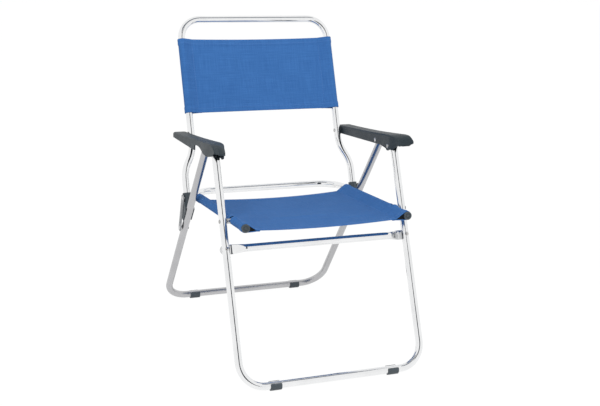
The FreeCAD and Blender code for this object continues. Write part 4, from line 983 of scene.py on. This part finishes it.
def wedge_mesh(cloth, side, near, far, inset=0.9 * MM):
    """The gap's outline, shrunk by inset, swept from near to far and closed at both ends."""
    seam_h = float(np.interp(cloth.seam_u, cloth.across, cloth.points[:, 1]))
    spread = 0.97 * math.acos(ROLL / math.hypot(seam_h, SEAM_INBOARD))
    tilt = math.atan2(seam_h, SEAM_INBOARD)
    turn = np.linspace(tilt - spread, tilt + spread, 24)
    reach = ROLL - CLOTH / 2
    round_tube = np.stack([-reach * np.cos(turn), reach * np.sin(turn)], axis=1)
    tip_x = 4 * inset - SEAM_INBOARD
    tip = np.array([[tip_x, seam_h + inset], [tip_x, seam_h - 0.2 * MM]])
    outline = np.concatenate([round_tube, tip]) + [cloth.half, 0]
    ends = [cloth.origin + v * cloth.run + outline[:, 1:] * cloth.face for v in (far, near)]
    rings = np.stack(ends)
    rings[..., 0] = side * outline[:, 0]
    count = len(outline)
    corner = np.arange(count)
    after = (corner + 1) % count
    sides = np.stack([corner, after, after + count, corner + count], axis=1)
    caps = [corner.tolist(), (corner + count).tolist()]
    return closed_mesh("sleeve_wedge", rings, sides.tolist() + caps)


WEDGE_ENDS = (SEAT_LENGTH - 13 * MM, SEAT_LENGTH - 1.2 * MM)
# Each wedge is a dark piece standing in for the shade inside the mouth: painted shade.
for side, name in ((-1, "left"), (1, "right")):
    mesh = wedge_mesh(seat_cloth, side, *WEDGE_ENDS)
    wedge = add_piece("sleeve_wedge_" + name, mesh, SHADE_WEDGE_FINISH)
    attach(wedge, "seat")
print("wedges in the sleeves' mouths")

# %% The seat's sewing, and what the seat rides on
seat_stitches = add_piece("seat_stitches", sew("seat_stitches", seat_cloth), THREAD)
for piece in (seat, seat_stitches):
    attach(piece, "seat")
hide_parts("seat_panel")

# %% [markdown]
# ## The back band
# The back is the same cloth on the uprights. Its seams lie level with the tubes, so the
# band is a little behind their front. Its edges are cut nearly straight, because nobody's
# weight hangs on them.

# %% The back cloth
BACK_HALF = 0.2255
TOP_BAR_HEIGHT, TOP_BEND = 857.6 * MM, 58 * MM
LEAN = 0.4123                           # the uprights' run back for each unit of height
STEEP = math.hypot(LEAN, 1.0)
BACK_RUN = np.array([0.0, LEAN, 1.0]) / STEEP
BACK_FACE = np.array([0.0, -1.0, LEAN]) / STEEP
BACK_LENGTH = 198 * MM * STEEP
top_bar = ARM_PIVOT * [0, 1, 1] + (TOP_BAR_HEIGHT - ARM_PIVOT[2]) * np.array([0.0, LEAN, 1.0])
back_cloth = SleeveCloth(
    top_bar - (TOP_BEND + BACK_LENGTH) * BACK_RUN, BACK_RUN, BACK_FACE, BACK_HALF,
    seam_height=-3 * MM, sag=5 * MM, length=BACK_LENGTH, hollow=1.5 * MM, folds=0.6 * MM,
    seed=11)
points, chart = back_cloth.grid(40)
back = add_piece("back_cloth", surface_mesh("back_cloth", points, chart), BLUE)
thicken(back)
settle(back)
back.data.set_sharp_from_angle(angle=math.radians(50))
back_stitches = add_piece("back_stitches", sew("back_stitches", back_cloth), THREAD)
for piece in (back, back_stitches):
    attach(piece, "back")
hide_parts("back_panel")

# %% [markdown]
# ## Floor and light
# The chair stands in a white sweep under even light. The floor glows white to the eye and
# keeps a faint shadow under the feet. Polished tube shows nothing but its surroundings,
# so two dark cards stand in front and above, seen only by reflections: without them the
# tubes would look like white plastic.

# %% World, floor and cards
def seen_rays(tree):
    """1 for rays from the eye, from reflections and through glass, 0 for light that falls."""
    path = tree.nodes.new("ShaderNodeLightPath").outputs
    direct = calc(tree, "MAXIMUM", path["Is Camera Ray"], path["Is Glossy Ray"])
    return calc(tree, "MAXIMUM", direct, path["Is Transmission Ray"])


def bare_tree(block):
    """Switches a material or a world to nodes, and empties its network."""
    block.use_nodes = True
    block.node_tree.nodes.clear()
    return block.node_tree


def make_world(level):
    """Plain white to the eye and in reflections; the level lights the object."""
    world = bpy.data.worlds.new("white_room")
    tree = bare_tree(world)
    lights = wire(tree, "Background", {"Color": (1, 1, 1, 1), "Strength": level})
    seen = wire(tree, "Background", {"Color": (1, 1, 1, 1), "Strength": 1.0})
    mixed = wire(tree, "MixShader", {0: seen_rays(tree), 1: lights, 2: seen})
    end = tree.nodes.new("ShaderNodeOutputWorld")
    tree.links.new(mixed, end.inputs["Surface"])
    bpy.context.scene.world = world


def make_floor_paint():
    """Mostly its own white to the eye and in reflections, with a share of real shade."""
    material = bpy.data.materials.new("white_floor")
    tree = bare_tree(material)
    paint = wire(tree, "BsdfDiffuse", {"Color": (0.8, 0.8, 0.8, 1)})
    glow = wire(tree, "Emission", {"Color": (1, 1, 1, 1), "Strength": 1.06})
    share = calc(tree, "MULTIPLY", seen_rays(tree), 0.90)
    mixed = wire(tree, "MixShader", {0: share, 1: paint, 2: glow})
    end = tree.nodes.new("ShaderNodeOutputMaterial")
    tree.links.new(mixed, end.inputs["Surface"])
    return material


def add_plane(name, middle, span_a, span_b, material):
    """A rectangle from its middle and its two half spans."""
    middle, span_a, span_b = (np.array(v, float) for v in (middle, span_a, span_b))
    corners = np.array([[middle - span_a - span_b, middle + span_a - span_b],
                        [middle - span_a + span_b, middle + span_a + span_b]])
    return add_piece(name, surface_mesh(name, corners), material)


def add_card(name, middle, span_a, span_b, colour):
    """A dark card that only reflections see."""
    material = bpy.data.materials.new(name)
    tree = bare_tree(material)
    end = tree.nodes.new("ShaderNodeOutputMaterial")
    tree.links.new(wire(tree, "Emission", {"Color": (*colour, 1)}), end.inputs["Surface"])
    card = add_plane(name, middle, span_a, span_b, material)
    card.visible_camera = card.visible_diffuse = False
    card.visible_shadow = card.visible_transmission = False


make_world(0.62)
add_plane("floor", (0, 0, 0), (30, 0, 0), (0, 30, 0), make_floor_paint())
add_card("card_front", (-0.20, -3.3, 2.2), (0.75, 0, 0), (0, 0, 2.4), (0.04, 0.045, 0.055))
add_card("card_above", (0, -0.9, 3.2), (1.6, 0, 0), (0, 0.75, 0), (0.20, 0.22, 0.25))
print("floor and cards up")

# %% Lamps
def add_lamp(name, place, target, size, power):
    """A square area lamp at a place, turned to face its target."""
    lamp = bpy.data.lights.new(name, "AREA")
    lamp.energy, lamp.size = power, size
    holder = bpy.data.objects.new(name, lamp)
    bpy.context.scene.collection.objects.link(holder)
    holder.location = place
    holder.rotation_euler = (Vector(target) - Vector(place)).to_track_quat("-Z", "Y").to_euler()
    holder.visible_glossy = False


add_lamp("key", (-1.6, -2.2, 2.8), (0, 0, 0.5), 1.6, 62)
add_lamp("fill", (2.2, -1.2, 2.0), (0, 0, 0.5), 2.0, 22)
bpy.context.scene.view_settings.view_transform = "Standard"
